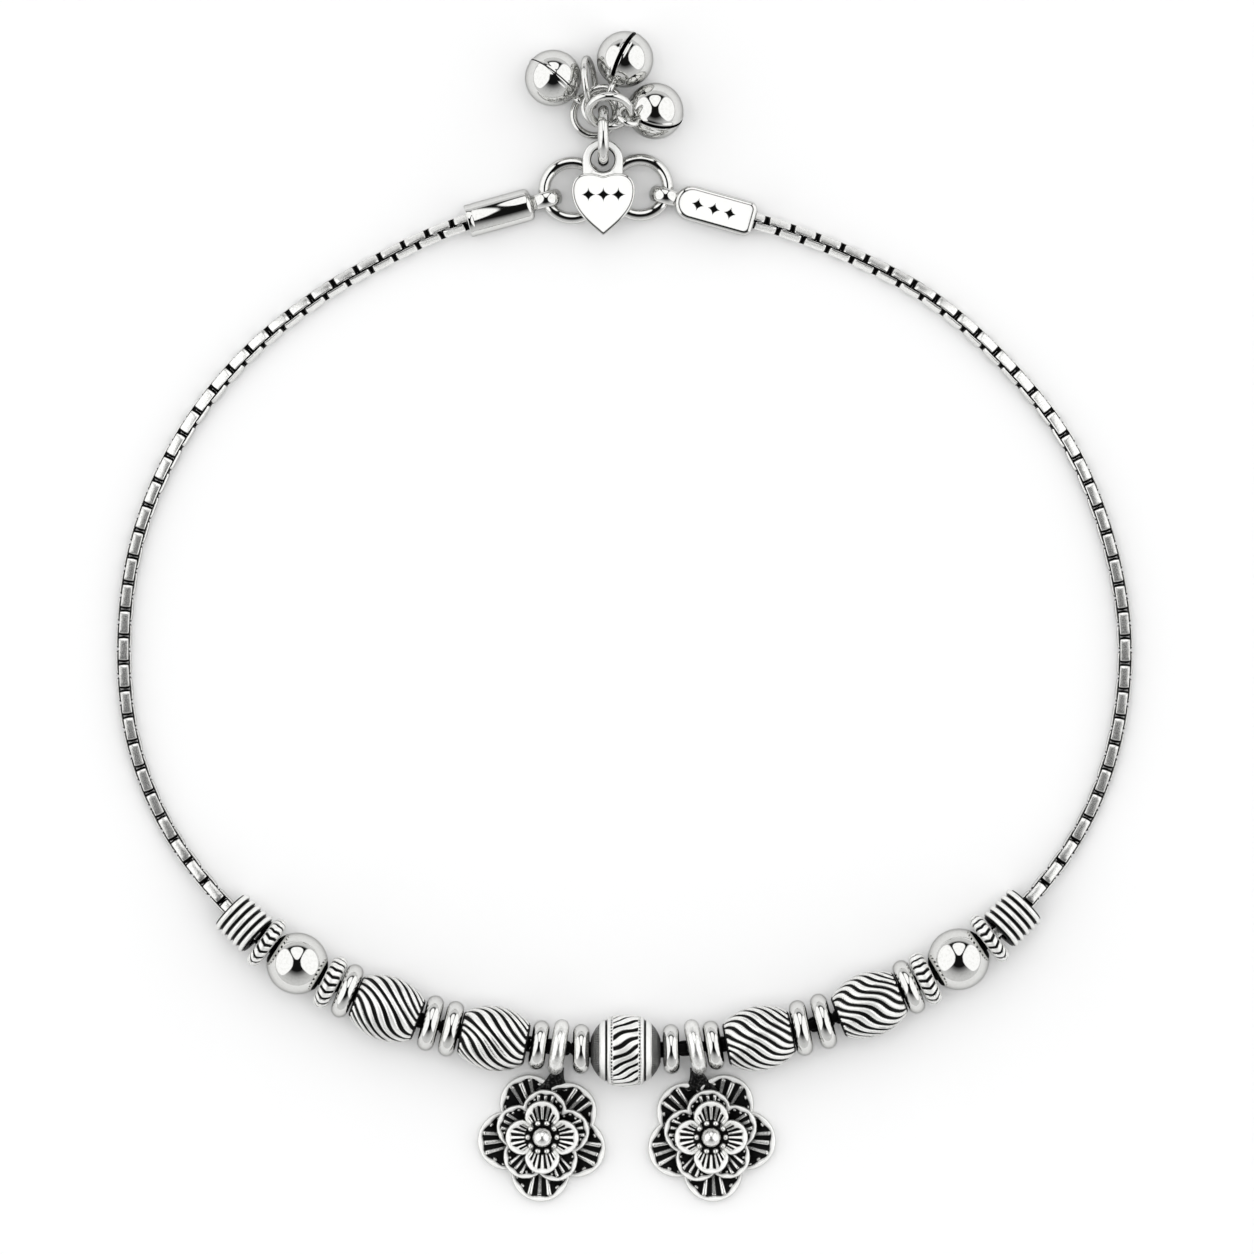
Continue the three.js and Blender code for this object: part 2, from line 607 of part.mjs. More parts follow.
BELL_RINGS.forEach((row) => {
  const ring = named(row.name, torus(row, 14), polishedSilver);
  ring.position.set(row.x, row.y, row.z);
  ring.rotation.x = radians(row.tilt);
  anklet.add(ring);
});
const spareRing = named("spare_ring", torus(SPARE_RING, 14), polishedSilver);
spareRing.position.set(SPARE_RING.x, SPARE_RING.y, SPARE_RING.z);
spareRing.rotation.set(Math.PI / 2 - radians(SPARE_RING.lean), 0, radians(SPARE_RING.heading), "ZYX");
anklet.add(spareRing);
BELLS.forEach((bell) => anklet.add(bellMesh(bell)));

export default anklet;
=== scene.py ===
import math

import bpy
import numpy as np
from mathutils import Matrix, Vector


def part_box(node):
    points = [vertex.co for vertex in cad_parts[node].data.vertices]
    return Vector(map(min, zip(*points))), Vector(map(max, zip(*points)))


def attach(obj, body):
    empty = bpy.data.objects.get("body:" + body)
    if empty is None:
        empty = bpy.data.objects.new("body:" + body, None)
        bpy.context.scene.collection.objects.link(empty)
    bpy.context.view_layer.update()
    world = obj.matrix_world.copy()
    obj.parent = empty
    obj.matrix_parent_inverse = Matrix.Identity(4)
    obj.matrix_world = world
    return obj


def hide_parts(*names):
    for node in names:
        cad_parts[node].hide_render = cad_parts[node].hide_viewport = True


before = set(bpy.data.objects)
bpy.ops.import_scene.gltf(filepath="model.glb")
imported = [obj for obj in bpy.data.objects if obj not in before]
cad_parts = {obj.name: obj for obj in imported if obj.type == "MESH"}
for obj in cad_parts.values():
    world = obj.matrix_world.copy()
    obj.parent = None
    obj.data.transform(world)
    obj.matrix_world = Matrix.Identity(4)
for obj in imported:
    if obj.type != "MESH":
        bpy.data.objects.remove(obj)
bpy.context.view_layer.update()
mm = 0.001
tau = 2 * math.pi


# Arrays, meshes and placing. Points are in millimetres until they become a mesh.

def smoothStep(low, high, value):
    share = np.clip((value - low) / (high - low), 0, 1)
    return share * share * (3 - 2 * share)


def gridOf(x, y, z):
    return np.stack(np.broadcast_arrays(x, y, z), axis=-1)


# Points round X, at distances along it.
def aroundX(along, radius, angle):
    return gridOf(along, radius * np.cos(angle), radius * np.sin(angle))


# Quads of a grid whose columns close on themselves.
def gridFaces(rows, columns, wrapRows):
    row = np.arange(rows if wrapRows else rows - 1)[:, None]
    column = np.arange(columns)[None, :]
    nextRow = (row + 1) % rows
    nextColumn = (column + 1) % columns
    corners = (
        row * columns + column,
        nextRow * columns + column,
        nextRow * columns + nextColumn,
        row * columns + nextColumn,
    )
    return np.stack([np.broadcast_to(c, corners[2].shape).ravel() for c in corners], axis=1)


# One closed surface from a grid of points: its rows form a loop, or its first and last rows
# close in a point.
def skin(points, recess=None, wrapRows=False):
    rows, columns = points.shape[:2]
    flat = points.reshape(-1, 3)
    depth = np.zeros(rows * columns) if recess is None else recess.reshape(-1)
    faces = gridFaces(rows, columns, wrapRows).tolist()
    if not wrapRows:
        for row, order in ((0, 1), (rows - 1, -1)):
            ring = row * columns + np.arange(columns)
            pole = len(flat)
            flat = np.vstack([flat, flat[ring].mean(axis=0)])
            depth = np.append(depth, depth[ring].mean())
            faces += [[pole, a, b][::order] for a, b in zip(ring.tolist(), np.roll(ring, -1).tolist())]
    return flat, outward(flat, faces), depth


# The faces, all turned round if they enclose a negative volume.
def outward(points, faces):
    triangles = np.array([[f[0], f[i], f[i + 1]] for f in faces for i in range(1, len(f) - 1)])
    a, b, c = (points[triangles[:, i]] for i in range(3))
    volume = np.einsum("ij,ij->i", a, np.cross(b, c)).sum()
    return faces if volume > 0 else [face[::-1] for face in faces]


def placed(part, turn=np.eye(3), centre=(0, 0, 0)):
    points, faces, depth = part
    return points @ np.asarray(turn).T + np.asarray(centre), faces, depth


def joined(parts):
    points, faces, depths, start = [], [], [], 0
    for part in parts:
        points.append(part[0])
        faces += [[start + i for i in face] for face in part[1]]
        depths.append(part[2])
        start += len(part[0])
    return np.vstack(points), faces, np.concatenate(depths)


def makePiece(name, part, material, nodes, sharp):
    points, faces, depth = part
    mesh = bpy.data.meshes.new(name)
    mesh.from_pydata((points * mm).tolist(), [], faces)
    mesh.attributes.new("recess", "FLOAT", "POINT").data.foreach_set("value", depth.astype(np.float32))
    mesh.polygons.foreach_set("use_smooth", np.ones(len(faces), dtype=bool))
    mesh.set_sharp_from_angle(angle=math.radians(sharp))
    mesh.materials.append(material)
    piece = bpy.data.objects.new(name, mesh)
    bpy.context.scene.collection.objects.link(piece)
    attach(piece, "root")
    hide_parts(*nodes)
    return piece


def dress(node, part, material, sharp=50):
    return makePiece(node + "_look", part, material, [node], sharp)


def turnAbout(axis, degrees):
    angle = math.radians(degrees)
    c, s = math.cos(angle), math.sin(angle)
    return {
        "x": np.array([[1, 0, 0], [0, c, -s], [0, s, c]]),
        "y": np.array([[c, 0, s], [0, 1, 0], [-s, 0, c]]),
        "z": np.array([[c, -s, 0], [s, c, 0], [0, 0, 1]]),
    }[axis]


# Turns (along, radius) rows about X. A loop profile goes round the bore and back.
def turned(profile, segments=72, recess=None, loop=True):
    along, radius = np.asarray(profile, dtype=float).T
    angle = np.linspace(0, tau, segments, endpoint=False)
    points = aroundX(along[:, None], radius[:, None], angle)
    depth = None if recess is None else np.repeat(np.asarray(recess, float)[:, None], segments, axis=1)
    return skin(points, depth, wrapRows=loop)


# A ring about Z.
def torus(radius, wire, steps=96, sides=24):
    around = np.linspace(0, tau, steps, endpoint=False)[:, None]
    section = np.linspace(0, tau, sides, endpoint=False)[None, :]
    distance = radius + wire * np.cos(section)
    points = gridOf(distance * np.cos(around), distance * np.sin(around), wire * np.sin(section))
    return skin(points, wrapRows=True)


# Materials

def linearColour(code):
    values = [int(code[i:i + 2], 16) / 255 for i in (1, 3, 5)]
    return [v / 12.92 if v <= 0.04045 else ((v + 0.055) / 1.055) ** 2.4 for v in values] + [1]


# Adds a node, sets its named or numbered sockets and links others to them.
def addNode(tree, kind, settings=None, links=None):
    node = tree.nodes.new(kind)
    for key, value in (settings or {}).items():
        if isinstance(key, str) and hasattr(node, key):
            setattr(node, key, value)
        else:
            node.inputs[key].default_value = value
    for key, source in (links or {}).items():
        tree.links.new(source, node.inputs[key])
    return node


def mapRange(tree, value, settings):
    return addNode(tree, "ShaderNodeMapRange", settings, {"Value": value}).outputs["Result"]


# Silver over its real finish. The recess attribute is above 0 where the surface is painted black: black oxide
# that stays in the hollows and punched marks, and painted shade in bores, in holes and between parts. It is
# below 0 where a flat face is brushed satin. The rest is polished, with faint waves from handling.
def silverMaterial(name, settings):
    material = bpy.data.materials.new(name)
    material.use_nodes = True
    tree = material.node_tree
    tree.nodes.clear()
    place = addNode(tree, "ShaderNodeTexCoord").outputs["Object"]
    recess = addNode(tree, "ShaderNodeAttribute", {"attribute_name": "recess"}).outputs["Fac"]
    grain = addNode(
        tree, "ShaderNodeTexNoise",
        {"Scale": 1 / (settings["grainSize"] * mm), "Detail": 3.0, "Roughness": 0.6},
        {"Vector": place},
    ).outputs["Fac"]
    ragged = addNode(
        tree, "ShaderNodeMath",
        {"operation": "MULTIPLY_ADD", 1: settings["ragged"], 2: -settings["ragged"] / 2},
        {0: grain},
    ).outputs[0]
    edge = addNode(tree, "ShaderNodeMath", {"operation": "ADD"}, {0: recess, 1: ragged}).outputs[0]
    oxideAndShade = mapRange(tree, edge, {"interpolation_type": "SMOOTHSTEP", "From Min": 0.3, "From Max": 0.62})
    waves = addNode(
        tree, "ShaderNodeTexNoise",
        {"Scale": 1 / (settings["waveSize"] * mm), "Detail": 1.0},
        {"Vector": place},
    ).outputs["Fac"]
    bump = addNode(
        tree, "ShaderNodeBump", {"Strength": 1.0, "Distance": settings["waveDepth"] * mm}, {"Height": waves},
    ).outputs["Normal"]
    shaded = mapRange(tree, grain, {"From Min": 0.45, "From Max": 0.75})
    worn = addNode(
        tree, "ShaderNodeMix",
        {"data_type": "RGBA", 6: linearColour(settings["silver"]), 7: linearColour(settings["shade"])},
        {0: shaded},
    ).outputs[2]
    frost = mapRange(tree, recess, {"From Min": 0.0, "From Max": -1.0})
    pale = addNode(
        tree, "ShaderNodeMix", {"data_type": "RGBA", 7: linearColour(settings["frost"])}, {0: frost, 6: worn},
    ).outputs[2]
    colour = addNode(
        tree, "ShaderNodeMix", {"data_type": "RGBA", 7: linearColour(settings["oxideAndShade"])}, {0: oxideAndShade, 6: pale},
    ).outputs[2]
    rougher = settings["satin"] - settings["roughness"]
    satin = mapRange(tree, recess, {"From Min": 0.0, "From Max": -1.0, "To Max": rougher})
    black = mapRange(tree, oxideAndShade, {"To Min": settings["roughness"], "To Max": 0.42})
    roughness = addNode(tree, "ShaderNodeMath", {"operation": "ADD"}, {0: black, 1: satin}).outputs[0]
    frosted = mapRange(
        tree, recess,
        {"From Min": 0.0, "From Max": -1.0, "To Min": settings["metal"], "To Max": settings["satinMetal"]},
    )
    metallic = addNode(
        tree, "ShaderNodeMath", {"operation": "MULTIPLY_ADD", 1: -0.3}, {0: oxideAndShade, 2: frosted},
    ).outputs[0]
    shader = addNode(
        tree, "ShaderNodeBsdfPrincipled", {"Specular Tint": linearColour(settings["glancingShade"])},
        {"Base Color": colour, "Roughness": roughness, "Metallic": metallic, "Normal": bump},
    ).outputs["BSDF"]
    addNode(tree, "ShaderNodeOutputMaterial", {}, {"Surface": shader})
    return material


# Sizes in mm. Sterling that is drawn, turned and buffed is a clear mirror. Its glancing tint darkens the
# reflection at the edges: painted shade that draws dark outlines.
polishedSettings = {
    "silver": "#E0E0DE", "shade": "#D8D8D5", "frost": "#F8F8F6", "glancingShade": "#B8B8B8", "oxideAndShade": "#080808",
    "roughness": 0.05, "satin": 0.5, "metal": 1.0, "satinMetal": 0.1,
    "grainSize": 0.25, "ragged": 0.1, "waveSize": 2.2, "waveDepth": 0.0012,
}
# Cast sterling is dipped black and then rubbed bright on its raised parts, so it is softer and uneven.
castSettings = {
    "silver": "#F2F2F0", "shade": "#DEDEDB", "frost": "#FAFAF8", "glancingShade": "#B8B8B8", "oxideAndShade": "#070707",
    "roughness": 0.22, "satin": 0.4, "metal": 0.85, "satinMetal": 0.2,
    "grainSize": 0.2, "ragged": 0.24, "waveSize": 0.5, "waveDepth": 0.01,
}
polished = silverMaterial("polished_sterling_silver", polishedSettings)
cast = silverMaterial("oxidised_sterling_silver_and_painted_shade", castSettings)
print("materials made")


# Route of the chain's axis, as in the frame

routePoints = np.array([
    (-11.0, 36.45, 1.5), (-13.6, 35.7, 1.5), (-16.5, 34.7, 1.2), (-20.2, 33.0, 0.8),
    (-27.6, 28.8, 0.78), (-34.5, 23.1, 0.78), (-40.1, 15.8, 0.78), (-43.8, 7.2, 0.78),
    (-45.1, -2.1, 0.78), (-44.2, -11.5, 0.78), (-40.7, -19.8, 0.84), (-34.3, -27.5, 2.3),
    (-29.4, -31.2, 2.8), (-21.4, -35.2, 2.92), (-11.8, -37.9, 3.0), (0.1, -39.0, 3.25),
    (12.1, -37.9, 3.0), (22.0, -34.9, 2.92), (29.9, -30.9, 2.8), (34.8, -27.2, 2.3),
    (40.9, -19.5, 0.84), (44.1, -11.5, 0.78), (45.08, -2.1, 0.78), (43.5, 7.2, 0.78),
    (39.9, 15.7, 0.78), (34.3, 22.8, 0.78), (27.7, 28.6, 0.78), (20.1, 32.7, 0.8),
    (14.6, 34.8, 1.2), (11.7, 35.65, 1.5), (9.2, 36.35, 1.5),
])


# Centripetal Catmull-Rom curve through the points, as a dense polyline.
def routeCurve(points, perSpan=60):
    ends = np.vstack([2 * points[0] - points[1], points, 2 * points[-1] - points[-2]])
    share = np.linspace(0, 1, perSpan, endpoint=False)[:, None]
    spans = []
    for a, b, c, d in zip(ends, ends[1:], ends[2:], ends[3:]):
        first, middle, last = (math.sqrt(np.linalg.norm(q - p)) for p, q in ((a, b), (b, c), (c, d)))
        leave = ((b - a) / first - (c - a) / (first + middle) + (c - b) / middle) * middle
        arrive = ((c - b) / middle - (d - b) / (middle + last) + (d - c) / last) * middle
        cubic = 2 * b - 2 * c + leave + arrive
        square = -3 * b + 3 * c - 2 * leave - arrive
        spans.append(b + leave * share + square * share ** 2 + cubic * share ** 3)
    return np.vstack(spans + [points[-1:]])


route = routeCurve(routePoints)
routeLength = np.concatenate([[0], np.cumsum(np.linalg.norm(np.diff(route, axis=0), axis=1))])


# Points and unit tangents at distances along the route.
def alongRoute(distance):
    def at(s):
        return np.stack([np.interp(s, routeLength, route[:, i]) for i in range(3)], axis=-1)

    tangent = at(distance + 0.05) - at(distance - 0.05)
    return at(distance), tangent / np.linalg.norm(tangent, axis=-1, keepdims=True)


# Chain of box links, each a strip bent to a rounded oblong, every other one turned a quarter

chainSettings = {
    "advance": 1.2, "length": 2.28, "height": 1.34, "width": 0.86, "thickness": 0.24,
    "corner": 0.34, "chamfer": 0.07, "crown": 0.05, "bright": 0.93, "coveredTo": 33.0,
    "rolledAtEnds": 45, "straightens": 55.0, "points": 28,
}


# A link along X whose oblong lies in the XZ plane.
def linkPart(settings):
    angle = np.linspace(0, tau, settings["points"], endpoint=False)
    c, s = np.cos(angle), np.sin(angle)
    half = settings["thickness"] / 2
    # A superellipse: its corners are tight and its long sides flat.
    x = (settings["length"] / 2 - half) * np.sign(c) * np.abs(c) ** settings["corner"]
    z = (settings["height"] / 2 - half) * np.sign(s) * np.abs(s) ** settings["corner"]
    dx, dz = np.roll(x, -1) - np.roll(x, 1), np.roll(z, -1) - np.roll(z, 1)
    size = np.hypot(dx, dz)
    outX, outZ = dz / size, -dx / size
    wide, chamfer = settings["width"] / 2, settings["chamfer"]
    section = np.array([
        (wide, -half + chamfer), (wide, half - chamfer), (wide - chamfer, half),
        (0, half + settings["crown"]),
        (-wide + chamfer, half), (-wide, half - chamfer), (-wide, -half + chamfer),
        (-wide + chamfer, -half), (wide - chamfer, -half),
    ])
    # The inner faces and the strip's sides are black: oxide inside the links, and painted shade that darkens
    # the holes between the plates.
    recess = np.array([0.8, 0.1, -0.8, -0.8, -0.8, 0.1, 0.8, 1, 1])
    sideways, outwards = section.T
    points = gridOf(x[:, None] + outX[:, None] * outwards, sideways, z[:, None] + outZ[:, None] * outwards)
    # Painted shade: the bent ends are painted black as shade between the plates, and the links that the beads
    # cover are painted black all over as shade between the rings.
    bent = smoothStep(settings["bright"] - 0.08, settings["bright"], np.abs(x))[:, None]
    return skin(points, np.maximum(recess[None, :], bent), wrapRows=True)


def chainPart(settings):
    link = linkPart(settings)
    covered = (link[0], link[1], np.ones_like(link[2]))
    end = routeLength[-1]
    parts = []
    for index, distance in enumerate(np.arange(1.0, end - 0.9, settings["advance"])):
        point, tangent = alongRoute(distance)
        fromEnd = min(distance, end - distance)
        rolled = settings["rolledAtEnds"] * (1 - smoothStep(0, settings["straightens"], fromEnd))
        roll = rolled + 90 * (index % 2)
        side = np.cross((0, 0, 1), tangent)
        side /= np.linalg.norm(side)
        axes = np.stack([tangent, side, np.cross(tangent, side)], axis=1)
        underBeads = abs(point[0]) < settings["coveredTo"] and point[1] < 0
        parts.append(placed(covered if underBeads else link, axes @ turnAbout("x", roll), point))
    return joined(parts)


makePiece("chain_links", chainPart(chainSettings), cast, ["chain"], sharp=35)
print("chain made")


# Beads: each keeps the centre of its own node, and its bore follows the route

def seatOf(node, lean=0.0):
    low, high = (np.array(corner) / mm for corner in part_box(node))
    centre = (low + high) / 2
    nearest = np.argmin(np.hypot(route[:, 0] - centre[0], route[:, 1] - centre[1]))
    _, tangent = alongRoute(routeLength[nearest])
    heading = math.degrees(math.atan2(tangent[1], tangent[0])) + lean
    return centre, heading, math.degrees(math.asin(tangent[2]))


def makeBead(node, part, material, lean=0.0, level=False, sharp=50):
    centre, heading, slope = seatOf(node, lean)
    turn = turnAbout("z", heading) @ turnAbout("y", 0 if level else -slope)
    if material == cast:  # the ribs' tops are rubbed to a white sheen
        part = (part[0], part[1], part[2] - 0.5 * np.maximum(0, 1 - 2 * part[2]))
    return dress(node, placed(part, turn, centre), material, sharp)


ringSettings = {
    "ring": {"diameter": 5.1, "thickness": 1.55}, "narrow": {"diameter": 4.5, "thickness": 1.5},
    "chevron": {"diameter": 5.05, "thickness": 1.3}, "wideChevron": {"diameter": 5.05, "thickness": 1.5},
    "bail": {"diameter": 5.1, "thickness": 1.4}, "bore": 1.25, "crown": 0.75,
    "chevrons": 20, "slant": 2.6, "cut": 0.16, "segments": 260,
}


# Half an ellipse on a straight flank. The flanks and bore are painted black: painted shade between the rings
# and in the bore.
def ringProfile(kind, steps=24):
    size = ringSettings[kind]
    half, outer, crown = size["thickness"] / 2, size["diameter"] / 2, ringSettings["crown"]
    angle = np.linspace(-math.pi / 2, math.pi / 2, steps)
    outside = np.stack([half * np.sin(angle), outer - crown + crown * np.cos(angle)], axis=1)
    flank = np.linspace(outer - crown, ringSettings["bore"], 8)[1:]
    right = np.stack([np.full(len(flank), half * 0.97), flank], axis=1)
    left = np.stack([np.full(len(flank), -half * 0.97), flank[::-1]], axis=1)
    profile = np.vstack([outside, right, left])
    recess = np.concatenate([np.zeros(steps), np.ones(len(right) + len(left))])
    return profile, recess


def makePlainRings():
    leans = {
        "plain_ring_1": ("ring", 3), "plain_ring_2": ("ring", 2), "plain_ring_3": ("ring", 1),
        "plain_ring_4": ("narrow", -2), "plain_ring_5": ("narrow", 3), "plain_ring_6": ("narrow", -2),
        "plain_ring_7": ("narrow", 3), "plain_ring_8": ("ring", -5), "plain_ring_9": ("ring", -3),
        "plain_ring_10": ("ring", -3),
    }
    for node, (kind, lean) in leans.items():
        profile, recess = ringProfile(kind)
        makeBead(node, turned(profile, 80, recess), polished, lean, level=True)


# A ring whose crown is cut with chevrons: a groove where a wave of the angle plus the distance from
# the middle is high.
def chevronPart(kind):
    settings = ringSettings
    profile, flankRecess = ringProfile(kind, 30)
    angle = np.linspace(0, tau, settings["segments"], endpoint=False)[None, :]
    along, radius = profile[:, 0:1], profile[:, 1:2]
    off = np.abs(along) / (settings[kind]["thickness"] / 2)
    onCrown = (radius > settings[kind]["diameter"] / 2 - 0.7) * smoothStep(0.97, 0.8, off)
    wave = 0.5 + 0.5 * np.sin(settings["chevrons"] * angle + settings["slant"] * off)
    groove = smoothStep(0.5, 0.8, wave) * onCrown
    outer = radius - settings["cut"] * groove
    return skin(aroundX(along, outer, angle), np.maximum(groove, flankRecess[:, None]), wrapRows=True)


def makeChevronRings():
    for node, kind, lean in (
        ("chevron_ring_1", "chevron", 0), ("chevron_ring_2", "wideChevron", 1),
        ("chevron_ring_3", "wideChevron", -3), ("chevron_ring_4", "chevron", 0),
    ):
        makeBead(node, chevronPart(kind), cast, lean, level=True)


ballSettings = {"diameter": 5.56, "bore": 1.1, "steps": 48}


def ballPart():
    radius, bore, steps = ballSettings["diameter"] / 2, ballSettings["bore"], ballSettings["steps"]
    start = math.asin(bore / radius)
    angle = np.linspace(start, math.pi - start, steps)
    outside = np.stack([-radius * np.cos(angle), radius * np.sin(angle)], axis=1)
    inside = np.stack([np.linspace(outside[-1, 0], outside[0, 0], 6), np.full(6, bore * 0.97)], axis=1)
    profile = np.vstack([outside, inside])
    # The bore and its rims are painted dark as shade in the hole.
    recess = np.concatenate([np.zeros(steps), np.ones(6)])
    recess[[0, steps - 1]] = 0.6
    return turned(profile, 100, recess)


stopperSettings = {"length": 3.5, "diameter": 4.2, "ridges": 5, "groove": 0.3, "bore": 1.1, "steps": 96}


# Round ridges across the bead: the root of a half sine between deep grooves.
def stopperPart():
    size = stopperSettings
    length, steps = size["length"], size["steps"]
    along = np.linspace(-length / 2, length / 2, steps)
    wave = np.abs(np.sin(math.pi * (along / length + 0.5) * size["ridges"]))
    ridge = np.sqrt(smoothStep(0.38, 1.0, wave))
    outside = np.stack([along, size["diameter"] / 2 - size["groove"] * (1 - ridge)], axis=1)
    inside = np.stack([np.linspace(length / 2, -length / 2, 6), np.full(6, size["bore"])], axis=1)
    # The grooves are oxide. The bore is painted black as shade in the hole.
    recess = np.concatenate([1 - smoothStep(0.2, 0.7, ridge), np.ones(6)])
    return turned(np.vstack([outside, inside]), 96, recess)


barrelSettings = {
    "diameter": 5.8, "end": 3.4, "length": 6.1, "fullness": 0.66, "mouth": 1.5, "bore": 1.1,
    "ribs": 16, "twist": 0.37, "depth": 0.17, "grid": (54, 336),
}


# A swelling barrel with slanting round ribs, cut in places by finer lines.
def barrelPart(seed):
    size = barrelSettings
    random = np.random.default_rng(seed)
    rows, segments = size["grid"]
    share = np.linspace(0, 1, rows)[:, None]
    angle = np.linspace(0, tau, segments, endpoint=False)[None, :]
    along = (share - 0.5) * size["length"]
    swell = np.sin(math.pi * share) ** size["fullness"]
    radius = (size["end"] + (size["diameter"] - size["end"]) * swell) / 2
    wander = 0
    for count in range(2, 7):
        strength, start, lean = random.uniform(0.02, 0.05), random.uniform(0, tau), random.uniform(-1, 1)
        wander = wander + strength * np.sin(count * angle + start + lean * along)
    phase = angle - size["twist"] * along + wander
    ribs = size["ribs"]
    wave = 0.5 + 0.5 * np.cos(ribs * phase)
    groove = 1 - smoothStep(0.26, 0.66, wave)
    fork = smoothStep(0.55, 0.95, np.sin(2 * angle + random.uniform(0, tau)) * np.sin(math.pi * share))
    fine = smoothStep(0.75, 0.98, np.cos(2 * ribs * phase)) * fork * 0.6
    depth = np.clip(groove + fine, 0, 1) * smoothStep(0, 0.05, share) * smoothStep(1, 0.95, share)
    outer = radius - size["depth"] * depth + 0.02
    outside = aroundX(along, outer, angle)
    # The ends are painted dark as shade where the barrel meets its rings, and the bore is painted black as
    # shade in the hole.
    edge = np.where((share < 0.03) | (share > 0.97), 0.75, 0)
    mouth, bore = size["mouth"], size["bore"]
    ends = np.array([0.5, 0.5, -0.5, -0.5])[:, None] * size["length"]
    inner = aroundX(ends, np.array([mouth, bore, bore, mouth])[:, None], angle)
    recess = np.vstack([np.maximum(depth, edge), np.ones((4, segments))])
    return skin(np.concatenate([outside, inner]), recess, wrapRows=True)


centreSettings = {
    "diameter": 6.5, "length": 6.3, "bore": 1.1, "reach": 3.3, "power": 2.4, "ribs": 22, "twist": -0.17,
    "depth": 0.16, "grid": (98, 380),
    # Distances from the middle: ribs, a dotted line, a bright band, a black line, another band, dark ends.
    "ribEnd": 1.17, "dotted": 1.27, "line": 1.74, "ends": 2.27, "dots": 56,
}


# A superellipse of revolution. Slanting ribs run round its middle between dotted and plain lines, and
# its ends are left dark and stippled.
def centrePart():
    size = centreSettings
    rows, segments = size["grid"]
    along = np.linspace(-0.5, 0.5, rows)[:, None] * size["length"]
    angle = np.linspace(0, tau, segments, endpoint=False)[None, :]
    off = np.abs(along)
    radius = size["diameter"] / 2 * np.sqrt(1 - (off / size["reach"]) ** size["power"])
    wander = 0.05 * np.sin(3 * angle + 1.1 * along) + 0.03 * np.sin(7 * angle - 1.7 * along)
    wave = 0.5 + 0.5 * np.cos(size["ribs"] * (angle - size["twist"] * along + wander))
    ribGroove = (1 - smoothStep(0.2, 0.55, wave)) * smoothStep(size["ribEnd"], size["ribEnd"] - 0.08, off)
    dots = smoothStep(0.15, 0.6, 0.5 + 0.5 * np.cos(size["dots"] * angle))
    dotted = np.exp(-((off - size["dotted"]) / 0.08) ** 2) * (0.3 + 0.7 * dots)
    line = smoothStep(0.12, 0.06, np.abs(off - size["line"]))
    ends = smoothStep(size["ends"], size["ends"] + 0.08, off)
    stipple = 0.5 + 0.5 * np.sin(55 * angle + 5 * along) * np.sin(22 * along)
    depth = np.clip(ribGroove + dotted + line, 0, 1)
    recess = np.clip(depth + ends * (0.42 + 0.3 * stipple), 0, 1)
    outer = radius - size["depth"] * depth - ends * (0.03 + 0.02 * stipple)
    outside = aroundX(along, outer, angle)
    end = size["length"] / 2
    inner = aroundX(np.array([end, -end])[:, None], size["bore"], angle)
    # The bore is painted black as shade in the hole.
    recess = np.vstack([recess + np.zeros_like(angle), np.ones((2, segments))])
    return skin(np.concatenate([outside, inner]), recess, wrapRows=True)


makePlainRings()
makeChevronRings()
for node in ("ball_left", "ball_right"):
    makeBead(node, ballPart(), polished)
for node in ("stopper_left", "stopper_right"):
    makeBead(node, stopperPart(), cast)
for number in range(1, 5):
    makeBead(f"barrel_{number}", barrelPart(number), cast, sharp=80)
makeBead("centre_bead", centrePart(), cast, sharp=80)
print("beads made")


# Flowers: three layers of petals, a ball and its seeds, with the bail ring on the chain

flowerSettings = {
    # Petals of each layer: their directions, the circle each one is, and how far up it reaches.
    # A wall of 1 paints the layer's under side black, as shade between the layers.
    "layers": (
        {"angles": (112, 45, -18, -93, -174), "reach": 3.2, "lobe": 2.65, "low": 0.0, "high": 0.95,
         "from": 0.5, "cup": 0.35, "rim": 0.42, "scallops": 7, "flutes": 3, "fluteGap": 0.55, "fluteEnd": 5.1,
         "field": "pitted", "wall": 0.1, "grid": (350, 42)},
        {"angles": (85, 157, 229, 301, 13), "reach": 2.3, "lobe": 2.0, "low": 0.7, "high": 1.65,
         "from": 0.5, "cup": 0.4, "rim": 0.38, "scallops": 8, "flutes": 3, "fluteGap": 0.42, "fluteEnd": 3.6,
         "field": "pitted", "wall": 1.0, "grid": (310, 36)},
        {"angles": (90, 180, 270, 0), "reach": 1.7, "lobe": 1.6, "low": 1.3, "high": 2.3,
         "from": 0.0, "cup": 0.5, "rim": 0.44, "scallops": 6, "flutes": 7, "fluteGap": 0.36, "fluteEnd": 2.9,
         "field": "grooved", "wall": 1.0, "grid": (310, 46)},
    ),
    "ballRadius": 0.86, "ballHeight": 2.65, "seeds": 10, "seedRadius": 0.26, "seedCircle": 1.3,
    "seedHeight": 1.92, "neck": ((0.5, 0.42), (0.62, 0.42), (0.8, 0.42), (1.15, 0.4), (1.5, 0.35)),
    "flower_left": {"x": -7.4, "y": -46.85, "mirror": 1, "lean": -4, "ringX": -6.0},
    "flower_right": {"x": 7.8, "y": -46.85, "mirror": -1, "lean": 6, "ringX": 6.4},
}


